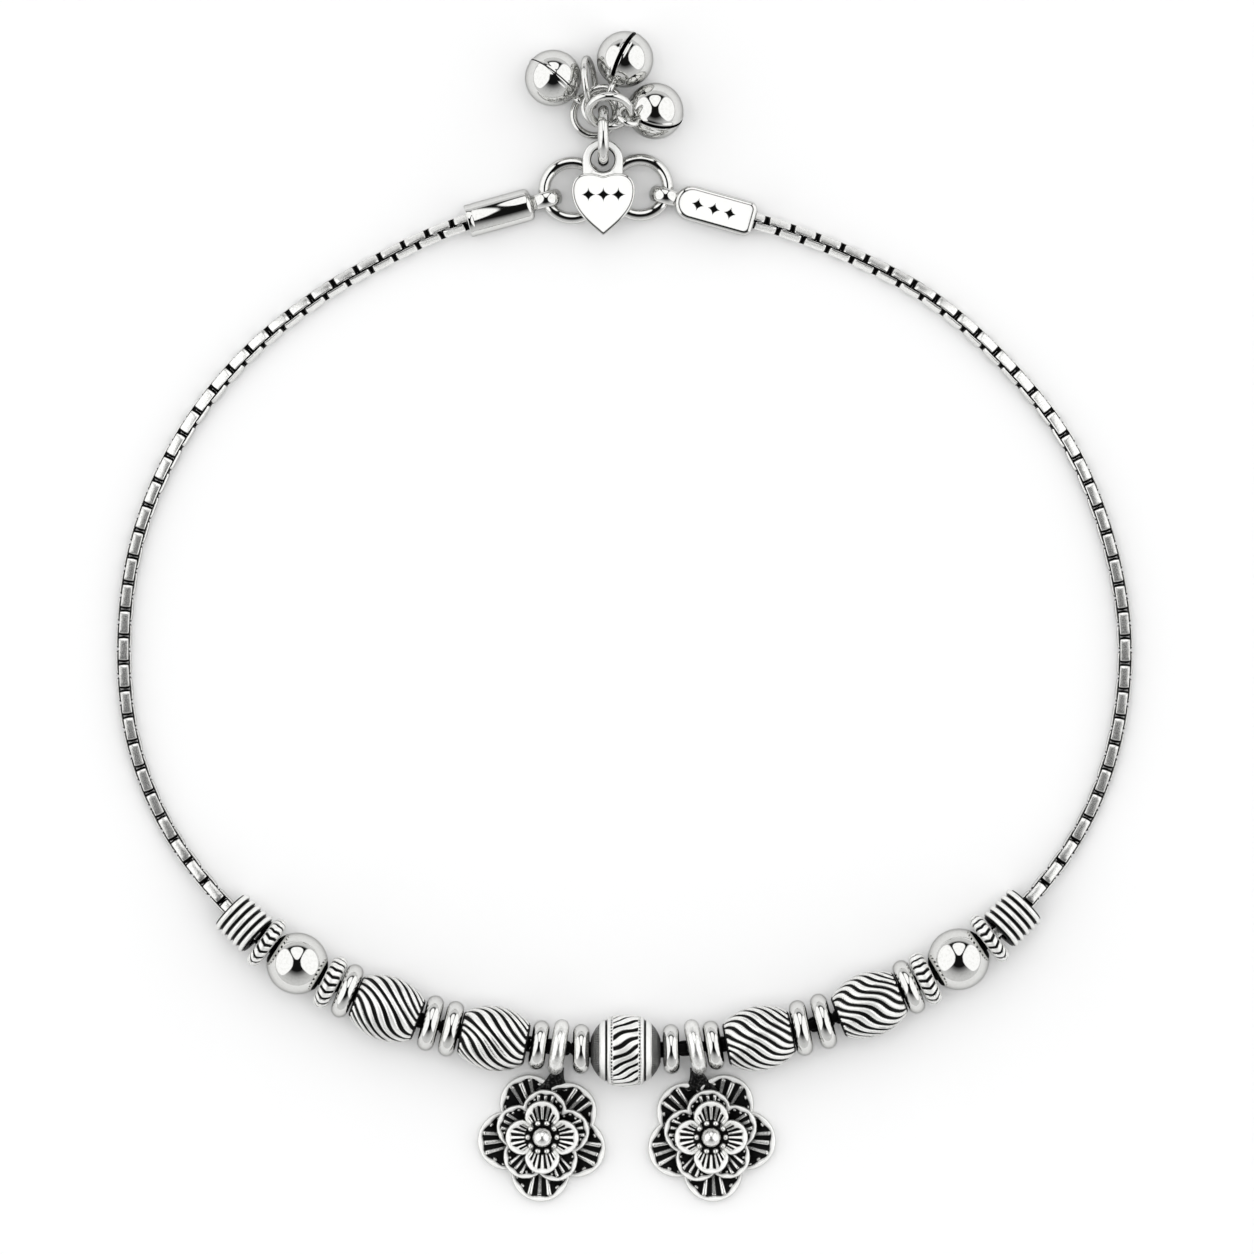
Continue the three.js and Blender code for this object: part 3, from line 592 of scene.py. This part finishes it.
# A layer of petals as a height over rings round the flower's centre. Each direction belongs to the
# petal that reaches furthest there, and the rings shrink its outline. On a petal, the rim is a round
# bead, flutes are cosines across it that fade outwards, and pits and dots lie beside them.
def petalLayer(layer, mirror):
    segments, rings = layer["grid"]
    reach, lobe = layer["reach"], layer["lobe"]
    angle = np.linspace(0, tau, segments, endpoint=False)
    petals = np.radians([a if mirror > 0 else 180 - a for a in layer["angles"]])
    off = (angle[None, :] - petals[:, None] + math.pi) % tau - math.pi
    beside = reach * np.sin(off)
    inside = (np.cos(off) > 0) & (np.abs(beside) < lobe)
    far = np.where(inside, reach * np.cos(off) + np.sqrt(np.maximum(lobe ** 2 - beside ** 2, 0)), 0)
    owner = np.argmax(far, axis=0)
    edge = np.maximum(far.max(axis=0), lobe)
    turn = off[owner, np.arange(segments)]
    share = np.linspace(layer["from"], 1, rings)[:, None]
    radius = share * edge
    px, py = radius * np.cos(turn), radius * np.sin(turn)
    inset = lobe - np.hypot(px - reach, py)
    around = np.arctan2(py, px - reach)
    rimWidth = layer["rim"] * (1 + 0.22 * np.cos(layer["scallops"] * around))
    acrossRim = inset / rimWidth
    rim = smoothStep(1.12, 0.94, acrossRim)
    cushion = np.clip(4 * acrossRim * (1 - acrossRim), 0, 1)
    spread = py * reach / np.maximum(px, 0.6)
    flutes = 0.5 + 0.5 * np.cos(tau * spread / layer["fluteGap"])
    count = layer["flutes"] / 2 * layer["fluteGap"]
    inMiddle = smoothStep(count, count - 0.12, np.abs(spread))
    inMiddle = inMiddle * smoothStep(layer["fluteEnd"] + 0.3, layer["fluteEnd"], px)
    boss = 0.0
    if layer["field"] == "pitted":
        ridge = smoothStep(0.4, 0.75, flutes) * inMiddle
        beads = smoothStep(0.45, 0.8, 0.5 + 0.5 * np.cos(2 * layer["scallops"] * around))
        dots = beads * np.exp(-((inset - rimWidth - 0.17) / 0.11) ** 2) * (1 - inMiddle)
        raised = np.maximum(np.maximum(rim, ridge), dots)
    else:
        valley = smoothStep(0.62, 0.25, flutes) * inMiddle
        parting = smoothStep(0.0, 0.07, np.abs(np.abs(turn) - math.pi / len(petals)))
        raised = np.maximum(rim, 1 - valley) * smoothStep(1.5, 1.62, radius) * parting
        boss = 0.5 * smoothStep(1.0, 0.8, radius)
    fall = smoothStep(0.08, 0.0, inset)
    lift = layer["cup"] * (share ** 2 - 1) + 0.12 * np.sin(2 * turn + 1.0) * share ** 2
    height = layer["high"] + lift - 0.22 * (1 - raised) + 0.13 * cushion * rim - 0.2 * fall + boss
    top = gridOf(radius * np.cos(angle), radius * np.sin(angle), height)
    low = np.array([1.0, 0.97, 0.6])[:, None]
    under = gridOf(
        low * edge * np.cos(angle), low * edge * np.sin(angle),
        layer["low"] + np.array([0.12, 0.0, 0.0])[:, None] + np.zeros(segments),
    )
    bright = rim * smoothStep(0.04, 0.14, inset)
    # The outer fall is painted grey as a shaded outline, and the under side is painted with the wall's value.
    recess = np.vstack([1 - raised - 0.95 * bright + 0.4 * fall, np.full((3, segments), layer["wall"])])
    first = 1 if layer["from"] == 0 else 0
    return skin(np.concatenate([top[first:], under]), recess[first:])


def sphere(radius, centre=(0, 0, 0), segments=48, rows=24):
    angle = np.linspace(0.06, math.pi - 0.06, rows)
    profile = np.stack([-radius * np.cos(angle), radius * np.sin(angle)], axis=1)
    return placed(turned(profile, segments, loop=False), turnAbout("y", 90), centre)


# The neck between bail ring and petals: superellipse sections that widen as they come down to the petals.
def neckPart(foot, toe, sizes):
    angle = np.linspace(0, tau, 32, endpoint=False)
    c, s = np.cos(angle), np.sin(angle)
    across, upward = np.sign(c) * np.abs(c) ** 0.55, np.sign(s) * np.abs(s) ** 0.55
    rows = []
    for share, (width, height) in zip(np.linspace(0, 1, len(sizes)), sizes):
        centre = foot + (toe - foot) * share
        rows.append(gridOf(centre[0] + width * across, centre[1], centre[2] + height * upward))
    rows = np.array(rows)
    # The whole neck is painted dark grey, as shade under the chain.
    return skin(rows, np.full(rows.shape[:2], 0.6))


def makeFlower(node):
    settings = flowerSettings[node]
    middle = np.array([settings["x"], settings["y"], 0])
    parts = [
        placed(petalLayer(layer, settings["mirror"]), centre=middle) for layer in flowerSettings["layers"]
    ]
    parts.append(sphere(flowerSettings["ballRadius"], middle + (0, 0, flowerSettings["ballHeight"])))
    for angle in np.arange(flowerSettings["seeds"]) / flowerSettings["seeds"] * tau:
        around = np.array([math.cos(angle), math.sin(angle), 0]) * flowerSettings["seedCircle"]
        seat = middle + around + (0, 0, flowerSettings["seedHeight"])
        parts.append(sphere(flowerSettings["seedRadius"], seat, 18, 10))
    nearest = np.argmin(np.abs(route[:, 0] - settings["ringX"]) + 100 * (route[:, 1] > 0))
    point, tangent = alongRoute(routeLength[nearest])
    centre = np.array([point[0], point[1], max(2.55, point[2] - 0.4)])
    heading = math.degrees(math.atan2(tangent[1], tangent[0])) + settings["lean"]
    profile, recess = ringProfile("bail")
    parts.append(placed(turned(profile, 80, recess), turnAbout("z", heading), centre))
    toe = np.array([middle[0] + (centre[0] - middle[0]) * 0.6, middle[1] + 4.2, 0.62])
    parts.append(neckPart(centre + (0, -1.9, -1.55), toe, flowerSettings["neck"]))
    dress(node, joined(parts), cast, sharp=60)


makeFlower("flower_left")
makeFlower("flower_right")
print("flowers made")


# Clasp: end cap, end tag, two big rings, the heart and the upright link ring

claspSettings = {
    "axis": 1.5,
    "cap": {"x": -7.08, "y": 37.55, "heading": 15.5, "diameter": 2.97, "length": 6.0,
            "bore": 1.9, "depth": 3.4, "shoulder": 1.31, "rounding": 0.5, "neck": 0.55, "lip": 0.1,
            # The turned line near the mouth, as distances from it and how far each is sunk.
            "line": ((0.46, 0), (0.52, 0.035), (0.6, 0.035), (0.68, 0))},
    "tag": {"x": 3.7, "y": 37.87, "heading": -15.5, "width": 3.15, "length": 7.4, "height": 2.6,
            "bevel": 0.35, "corner": 0.75, "nose": 0.91, "mouth": 0.95,
            "inlay": ((3.0, 0), (4.5, 0), (6.0, 0)), "inlaySize": 0.62},
    "eye": {"radius": 1.12, "wire": 0.38, "width": 0.7}, "bigRing": {"radius": 2.5, "wire": 0.54},
    "rings": {"big_ring_left": (-4.72, 38.4), "big_ring_right": (1.38, 38.67)},
    "heart": {"x": -1.9, "y": 38.3, "width": 5.7, "height": 5.65, "thickness": 1.0, "bevel": 0.16,
              "above": 0.3, "lobe": 0.28, "smoothings": 14,
              "inlay": ((-1.35, -0.35), (0, -0.35), (1.35, -0.35)), "inlaySize": 0.66},
    "bail": {"x": -1.95, "y": 41.1, "radius": 1.82, "hole": 1.05, "step": 0.12, "edge": 0.2, "rounding": 0.3,
             "flare": 0.26, "points": 240},
    "staple": {"reach": 1.62, "wire": 0.34, "barWire": 0.3, "height": 0.36, "forward": 0.2},
    "link": {"x": -1.9, "y": 43.25, "z": 2.8, "radius": 2.27, "wire": 0.5},
}


def eyePart():
    eye = claspSettings["eye"]
    points, faces, depth = torus(eye["radius"], eye["wire"], 72, 20)
    flattened = points * (1, 1, eye["width"] / eye["wire"])
    return placed((flattened, faces, depth), turnAbout("x", 90))


# The cap: a turned profile from its bore round the lip and along to the shoulder, and a neck to the eye.
def makeCap():
    size = claspSettings["cap"]
    shoulder, rounding = -size["shoulder"], size["rounding"]
    mouth = shoulder - size["length"]
    outer, bore, lipRound = size["diameter"] / 2, size["bore"] / 2, size["lip"]
    bend = np.linspace(0, math.pi / 2, 10)
    lip = np.stack([
        mouth + lipRound - lipRound * np.cos(bend), outer - lipRound + lipRound * np.sin(bend),
    ], axis=1)
    groove = [(mouth + along, outer - sunk) for along, sunk in size["line"]]
    corner = np.stack([
        shoulder - rounding + rounding * np.sin(bend), outer - rounding + rounding * np.cos(bend),
    ], axis=1)
    neck = np.stack([
        shoulder + 0.3 * np.sin(bend),
        size["neck"] + (outer - rounding - size["neck"]) * (1 - np.sin(bend)) ** 2,
    ], axis=1)
    bottom = mouth + size["depth"]
    body = np.vstack([
        [(bottom, 0.02), (bottom, bore), (mouth + lipRound, bore), (mouth, bore + 0.08)],
        lip, groove, corner, neck, [(shoulder + 0.4, size["neck"]), (shoulder + 0.42, 0.02)],
    ])
    recess = np.zeros(len(body))
    # The bore is painted black inside, as shade in the hole.
    recess[:3] = 1
    whole = joined([turned(body, 96, recess, loop=False), eyePart()])
    place = (size["x"], size["y"], claspSettings["axis"])
    whole = placed(whole, turnAbout("z", size["heading"]), place)
    dress("end_cap_left", whole, polished, sharp=35)


def atHeight(points, z):
    return np.column_stack([points, np.full(len(points), z)])


# A bevelled plate from an outline round the origin: underside, rounded edges and a top face of
# shrinking copies. The mark gives how deep the top is punched at each point.
def plateRows(outline, normal, low, high, bevel, rings, mark=None):
    bend = np.linspace(0, math.pi / 2, 6)
    rows, depths = [], []

    def add(points, z, recess=0.0):
        rows.append(atHeight(points, z))
        depths.append(np.broadcast_to(recess, len(points)))

    for share in (0.05, 0.5, 0.9):
        add((outline - normal * bevel) * share, low, 0.2)
    for turn in bend:
        add(outline - normal * bevel * (1 - math.sin(turn)), low + bevel * (1 - math.cos(turn)))
    for turn in bend:
        add(outline - normal * bevel * (1 - math.cos(turn)), high - bevel * (1 - math.sin(turn)))
    for share in np.linspace(1, 0.01, rings)[1:]:
        points = (outline - normal * bevel) * share
        punched = mark(points[:, 0], points[:, 1]) if mark else np.zeros(len(points))
        add(points, high - 0.05 * punched, 2 * punched - smoothStep(1.0, 0.95, share))
    return skin(np.array(rows), np.array(depths))


def outlineNormals(outline):
    step = np.roll(outline, -1, axis=0) - np.roll(outline, 1, axis=0)
    step /= np.linalg.norm(step, axis=1, keepdims=True)
    return np.stack([step[:, 1], -step[:, 0]], axis=1)


# The closed outline, resampled at even steps.
def evenOutline(points, count):
    closed = np.vstack([points, points[:1]])
    length = np.concatenate([[0], np.cumsum(np.linalg.norm(np.diff(closed, axis=0), axis=1))])
    at = np.linspace(0, length[-1], count, endpoint=False)
    return np.stack([np.interp(at, length, closed[:, i]) for i in range(2)], axis=1)


# Punched four-pointed stars: the root of |x| plus the root of |y| is under the root of the size.
def starMarks(places, size):
    def mark(x, y):
        found = np.zeros_like(x)
        for centreX, centreY in places:
            dx, dy = np.abs(x - centreX), np.abs(y - centreY)
            reach = dx ** 0.62 + dy ** 0.62
            found = np.maximum(found, smoothStep(size ** 0.62 * 1.06, size ** 0.62 * 0.9, reach))
        return found
    return mark


def arc(centreX, centreY, radius, start, end, count=16):
    angle = np.radians(np.linspace(start, end, count))
    return np.stack([centreX + radius * np.cos(angle), centreY + radius * np.sin(angle)], axis=1)


def makeTag():
    size = claspSettings["tag"]
    half, long, corner = size["width"] / 2, size["length"] / 2, size["corner"]
    middle = size["nose"] + long
    outline = np.vstack([
        arc(long - corner, -half + corner, corner, -90, 0), arc(long - corner, half - corner, corner, 0, 90),
        arc(-long + half, 0, half, 90, 270, 40),
    ])
    outline = evenOutline(outline, 300)
    marks = starMarks([(x - middle, y) for x, y in size["inlay"]], size["inlaySize"])
    tablet = plateRows(outline, outlineNormals(outline), -size["height"] / 2, size["height"] / 2,
                       size["bevel"], 50, marks)
    # The mouth is a thin disc painted black: painted shade standing in for the tag's opening.
    hole = size["mouth"]
    mouth = turned([(0, 0.02), (0.02, hole), (-0.02, hole), (-0.02, 0.02)], 48, np.ones(4), loop=False)
    mouth = placed(mouth, centre=(size["nose"] + size["length"], 0, 0))
    whole = joined([placed(tablet, centre=(middle, 0, 0)), eyePart(), mouth])
    place = (size["x"], size["y"], claspSettings["axis"])
    dress("end_tag_right", placed(whole, turnAbout("z", size["heading"]), place), polished)


def bezier(a, b, c, d, count=24):
    t = np.linspace(0, 1, count, endpoint=False)[:, None]
    a, b, c, d = (np.asarray(p, dtype=float) for p in (a, b, c, d))
    return a * (1 - t) ** 3 + 3 * b * t * (1 - t) ** 2 + 3 * c * t ** 2 * (1 - t) + d * t ** 3


# A straight wire along X.
def rod(start, end, radius):
    return turned([(start, 0.02), (start, radius), (end, radius), (end, 0.02)], 24, loop=False)


# The heart's bail: an arch whose section runs over its rounded edge, down the flared hole and back below.
def bailPart(low, high):
    bail = claspSettings["bail"]
    count, edge, rounding = bail["points"], bail["edge"], bail["rounding"]
    outer = evenOutline(np.vstack([
        arc(0, 0, bail["radius"], 0, 180, 60), [(-bail["radius"], -2.0), (bail["radius"], -2.0)],
    ]), count)
    angle = np.arctan2(outer[:, 1], outer[:, 0])
    hole = np.stack([np.cos(angle), np.sin(angle)], axis=1) * bail["hole"]
    normal = outlineNormals(outer)
    bend = np.linspace(0, math.pi / 2, 6)
    top, rows, depths = high - bail["step"], [], []
    for turn in bend:
        pulled = outer - normal * edge * (1 - math.cos(turn))
        rows.append(atHeight(pulled, top - edge + edge * math.sin(turn)))
        depths.append(-1.0 * (turn > 1.2))
    # Down the hole, its lower part and the underside round it are painted black as shade in the hole.
    for turn in bend:
        flare = 1 + bail["flare"] * (1 - math.sin(turn))
        rows.append(atHeight(hole * flare, top - rounding + rounding * math.cos(turn)))
        depths.append(0.75 * (turn > 0.9) - 1.0 * (turn < 0.3))
    rows += [
        atHeight(hole, low + 0.1), atHeight(hole * 1.08, low),
        atHeight(outer - normal * 0.1, low), atHeight(outer, low + 0.12),
    ]
    depths += [1.0, 0.6, 0.2, 0.0]
    return skin(np.array(rows), np.repeat(np.array(depths)[:, None], count, axis=1), wrapRows=True)


def makeHeart():
    size, bail = claspSettings["heart"], claspSettings["bail"]
    lobe, side = size["width"] * size["lobe"], size["width"] / 2
    tip, peak = lobe - size["height"], side * 0.45
    right = np.vstack([
        bezier((0, tip), (side * 0.42, tip * 0.74), (side, tip * 0.46), (side, 0)),
        bezier((side, 0), (side, lobe * 0.75), (side * 0.75, lobe), (peak, lobe)),
        bezier((peak, lobe), (side * 0.3, lobe), (side * 0.12, lobe * 0.92), (0, lobe * 0.8)),
    ])
    left = right[:0:-1] * (-1, 1)
    outline = evenOutline(np.vstack([right, [(0, lobe * 0.8)], left]), 320)
    for _ in range(size["smoothings"]):  # rounds the point and the notch a little
        outline = (np.roll(outline, 1, axis=0) + 2 * outline + np.roll(outline, -1, axis=0)) / 4
    low = claspSettings["bigRing"]["wire"] + size["above"]
    high = low + size["thickness"]
    marks = starMarks(size["inlay"], size["inlaySize"])
    plate = plateRows(outline, outlineNormals(outline), low, high, size["bevel"], 50, marks)
    loop = bailPart(low, high)
    staple = claspSettings["staple"]
    middle = sum(x for x, _ in claspSettings["rings"].values()) / 2 - size["x"]
    foot, reach, forward = staple["height"] - claspSettings["axis"], staple["reach"], staple["forward"]
    bar = rod(-reach - 0.3, reach + 0.3, staple["barWire"])
    leg = rod(foot, low + 0.3, staple["wire"])
    upright = turnAbout("y", -90)
    legs = [placed(leg, upright, (middle + side * reach, forward, 0)) for side in (-1, 1)]
    whole = joined([
        plate, placed(loop, centre=(bail["x"] - size["x"], bail["y"] - size["y"], 0)),
        placed(bar, centre=(middle, forward, foot)), *legs,
    ])
    whole = placed(whole, centre=(size["x"], size["y"], claspSettings["axis"]))
    dress("heart_tag", whole, polished, sharp=40)


def makeClaspRings():
    for node, (x, y) in claspSettings["rings"].items():
        ring = torus(claspSettings["bigRing"]["radius"], claspSettings["bigRing"]["wire"])
        ring = placed(ring, centre=(x, y, claspSettings["axis"]))
        dress(node, ring, polished)
    link = claspSettings["link"]
    ring = placed(torus(link["radius"], link["wire"]), turnAbout("y", 90), (link["x"], link["y"], link["z"]))
    dress("link_ring", ring, polished)


makeCap()
makeTag()
makeHeart()
makeClaspRings()
print("clasp made")


# Bell drop

bellSettings = {
    "radius": 2.55, "wall": 0.35, "eyeWire": 0.28, "collar": 0.48,
    "rings": {
        "bell_ring_1": {"centre": (-2.7, 45.22, 1.6), "radius": 1.9, "wire": 0.34, "tilt": 0},
        "bell_ring_2": {"centre": (-1.98, 45.93, 2.8), "radius": 1.66, "wire": 0.33, "tilt": 0},
        "bell_ring_3": {"centre": (-1.35, 45.4, 4.85), "radius": 1.85, "wire": 0.37, "tilt": 45},
    },
    "spare": {"centre": (-3.11, 48.07, 2.56), "radius": 2.15, "wire": 0.3, "heading": 98, "lean": 12},
    "bells": {
        # The slit's width, and how far towards the eye it runs as a share of the radius.
        "bell_1": {"ring": "bell_ring_1", "x": -6.42, "y": 48.47, "eye": 0.76,
                   "roll": -10, "slit": 0.05, "joined": 0.4},
        "bell_2": {"ring": "bell_ring_2", "x": 0.05, "y": 50.155, "eye": 0.78,
                   "roll": 12, "slit": 0.3, "joined": 0.8},
        "bell_3": {"ring": "bell_ring_3", "x": 2.75, "y": 45.5, "eye": 0.95,
                   "roll": 12, "slit": 0.24, "joined": 0.95},
    },
}


# Half of a hollow bell about Z, its eye towards +X. Its edge keeps off the slit's plane except near the
# eye, where both halves meet in a fine seam, and a low lip runs along the slit.
def bellHalf(side, bell):
    size = bellSettings
    segments = 144
    angle = np.linspace(0, tau, segments, endpoint=False)
    parted = smoothStep(bell["joined"] + 0.05, bell["joined"] - 0.05, np.cos(angle))
    start = parted * (bell["slit"] / 2 / size["radius"]) - (1 - parted) * 0.02

    def latitudes(rows):
        return start + (math.pi / 2 - 0.02 - start) * np.linspace(0, 1, rows)[:, None] ** 1.5

    def shell(radius, latitude):
        level = radius * np.cos(latitude)
        return gridOf(level * np.cos(angle), level * np.sin(angle), side * radius * np.sin(latitude))

    outer, inner = latitudes(32), latitudes(10)
    lip = 0.04 * smoothStep(0.12, 0.05, outer - start) * parted
    # The slit's edges and the whole inside are painted black as shade in the hollow bell.
    edge = smoothStep(0.03, 0.0, outer - start) * 0.8 * parted
    seam = smoothStep(0.03, 0.012, np.abs(outer)) * 0.5 * (1 - parted)
    inside = shell(np.full_like(inner, size["radius"] - size["wall"]), inner)
    points = np.concatenate([shell(size["radius"] + lip, outer)[::-1], inside])
    return skin(points, np.vstack([np.maximum(edge, seam)[::-1], np.ones((10, segments))]))


def makeBell(node):
    bell = bellSettings["bells"][node]
    ring = bellSettings["rings"][bell["ring"]]
    centre = np.array([bell["x"], bell["y"], bellSettings["radius"]])
    normal = turnAbout("x", ring["tilt"]) @ (0, 0, 1)
    towards = centre - ring["centre"]
    towards = towards - normal * (towards @ normal)
    towards /= np.linalg.norm(towards)
    hook = np.array(ring["centre"]) + towards * ring["radius"]
    along = np.cross(normal, towards)
    reach = np.linalg.norm(hook - centre)
    forward = (hook - centre) / reach
    across = along - forward * (along @ forward)
    across /= np.linalg.norm(across)
    turn = np.stack([forward, np.cross(across, forward), across], axis=1)
    roll = turnAbout("x", bell["roll"])
    eye = placed(torus(bell["eye"], bellSettings["eyeWire"], 64, 16), centre=(reach, 0, 0))
    base, top, radius = bellSettings["radius"] - 0.15, reach - bell["eye"], bellSettings["collar"]
    collar = turned([
        (base, 0.02), (base, radius + 0.1), (base + 0.18, radius),
        (top - 0.05, radius), (top, radius - 0.08), (top, 0.02),
    ], 32, loop=False)
    whole = joined([placed(bellHalf(1, bell), roll), placed(bellHalf(-1, bell), roll), eye, collar])
    dress(node, placed(whole, turn, centre), polished, sharp=60)


def makeBellRings():
    for node, ring in bellSettings["rings"].items():
        part = placed(torus(ring["radius"], ring["wire"]), turnAbout("x", ring["tilt"]), ring["centre"])
        dress(node, part, polished)
    spare = bellSettings["spare"]
    turn = turnAbout("z", spare["heading"]) @ turnAbout("x", 90 - spare["lean"])
    part = placed(torus(spare["radius"], spare["wire"]), turn, spare["centre"])
    dress("spare_ring", part, polished)


makeBellRings()
for node in bellSettings["bells"]:
    makeBell(node)
print("bells made")


# Stage: a pale table under a white studio dome with a dark gap overhead, and a long lens straight above

stageSettings = {
    "table": "#F4F4F4", "tableSize": 5000,
    # Angles of the dome in degrees: off is from straight up, round is from the right towards the back.
    "dome": {
        "lamps": (
            {"round": 7, "wide": 50, "off": 51, "tall": 36}, {"round": 90, "wide": 27, "off": 41, "tall": 25},
        ),
        "power": 3.2, "front": -34, "low": (68, 78), "soft": 2.5,
        "glow": 1.62, "lowGlow": 0.92, "gapGlow": 0.01, "behind": "#F8F8F8",
    },
    "frontGlow": ((28, 0.0), (40, 0.25), (50, 0.55), (64, 0.78), (80, 0.92)),
    "overhead": {"height": 1150, "size": 900, "glow": 1.6},
    "cameraHeight": 1200, "frameWidth": 112.86, "centre": (0.225, -0.92),
}


def makeStage():
    size = stageSettings["tableSize"] * mm / 2
    mesh = bpy.data.meshes.new("table")
    corners = [(-size, -size, 0), (size, -size, 0), (size, size, 0), (-size, size, 0)]
    mesh.from_pydata(corners, [], [(0, 1, 2, 3)])
    material = bpy.data.materials.new("pale_matt_table")
    material.use_nodes = True
    shader = material.node_tree.nodes["Principled BSDF"]
    shader.inputs["Base Color"].default_value = linearColour(stageSettings["table"])
    shader.inputs["Roughness"].default_value = 0.9
    shader.inputs["Specular IOR Level"].default_value = 0.1
    mesh.materials.append(material)
    table = bpy.data.objects.new("table", mesh)
    bpy.context.scene.collection.objects.link(table)


# The dome's brightness: white lamps with round corners at both sides and the back, a graded field in
# front, an even band low down, and dark between them and overhead. The brightest of these counts.
def makeDome():
    dome = stageSettings["dome"]
    world = bpy.data.worlds.new("studio_dome")
    world.use_nodes = True
    tree = world.node_tree
    tree.nodes.clear()

    def maths(operation, a, b=None):
        values = {0: a} if b is None else {0: a, 1: b}
        fixed = {key: v for key, v in values.items() if isinstance(v, (int, float))}
        linked = {key: v for key, v in values.items() if key not in fixed}
        return addNode(tree, "ShaderNodeMath", {"operation": operation, **fixed}, linked).outputs[0]

    def rising(value, low, high, goal=1.0):
        settings = {"interpolation_type": "SMOOTHSTEP", "From Min": low, "From Max": high, "To Max": goal}
        return mapRange(tree, value, settings)

    direction = addNode(tree, "ShaderNodeTexCoord").outputs["Generated"]
    axes = addNode(tree, "ShaderNodeSeparateXYZ", {}, {0: direction}).outputs
    off = maths("DEGREES", maths("ARCCOSINE", axes[2]))
    around = maths("DEGREES", maths("ARCTAN2", axes[1], maths("ABSOLUTE", axes[0])))
    soft = dome["soft"]
    glow = rising(off, *dome["low"], dome["lowGlow"])
    # A lamp is a superellipse in the two angles, and the side lamp is folded over on |x|.
    for lamp in dome["lamps"]:
        apart = maths("DIVIDE", maths("ABSOLUTE", maths("SUBTRACT", around, lamp["round"])), lamp["wide"])
        aside = maths("DIVIDE", maths("ABSOLUTE", maths("SUBTRACT", off, lamp["off"])), lamp["tall"])
        reach = maths("ADD", maths("POWER", apart, dome["power"]), maths("POWER", aside, dome["power"]))
        inside = maths("SUBTRACT", dome["glow"], rising(reach, 0.82, 1.18, dome["glow"]))
        glow = maths("MAXIMUM", glow, inside)
    steps = stageSettings["frontGlow"]
    graded = steps[0][1]
    for (offA, glowA), (offB, glowB) in zip(steps, steps[1:]):
        climb = mapRange(tree, off, {"From Min": offA, "From Max": offB, "To Max": glowB - glowA})
        graded = maths("ADD", climb, graded)
    behind = rising(around, dome["front"] - 4 * soft, dome["front"] + 4 * soft)
    front = maths("MULTIPLY", graded, maths("SUBTRACT", 1.0, behind))
    glow = maths("ADD", maths("MAXIMUM", glow, front), dome["gapGlow"])
    lit = addNode(tree, "ShaderNodeBackground", {}, {"Strength": glow}).outputs[0]
    plain = addNode(tree, "ShaderNodeBackground", {"Color": linearColour(dome["behind"])}).outputs[0]
    seen = addNode(tree, "ShaderNodeLightPath").outputs["Is Camera Ray"]
    mixed = addNode(tree, "ShaderNodeMixShader", {}, {0: seen, 1: lit, 2: plain}).outputs[0]
    addNode(tree, "ShaderNodeOutputWorld", {}, {"Surface": mixed})
    bpy.context.scene.world = world


# A wash of even light on the table alone, so the silver keeps its dark reflection of the gap above.
# Its power is pi times its area times its glow.
def makeWash():
    overhead = stageSettings["overhead"]
    light = bpy.data.lights.new("table_wash", "AREA")
    light.shape = "SQUARE"
    light.size = overhead["size"] * mm
    light.energy = math.pi * light.size ** 2 * overhead["glow"]
    lamp = bpy.data.objects.new("table_wash", light)
    lamp.location = (0, 0, overhead["height"] * mm)
    lamp.visible_camera = False
    lamp.visible_glossy = False
    bpy.context.scene.collection.objects.link(lamp)


def makeCamera():
    camera = bpy.data.cameras.new("camera")
    height = stageSettings["cameraHeight"]
    camera.sensor_width = 36
    camera.lens = 36 * (height - 2) / stageSettings["frameWidth"]
    camera.clip_start, camera.clip_end = 0.05, 10
    view = bpy.data.objects.new("camera", camera)
    view.location = (stageSettings["centre"][0] * mm, stageSettings["centre"][1] * mm, height * mm)
    bpy.context.scene.collection.objects.link(view)
    bpy.context.scene.camera = view
    bpy.context.scene.view_settings.view_transform = "Standard"
    bpy.context.scene.view_settings.exposure = 0.0


makeStage()
makeDome()
makeWash()
makeCamera()
print("stage made")
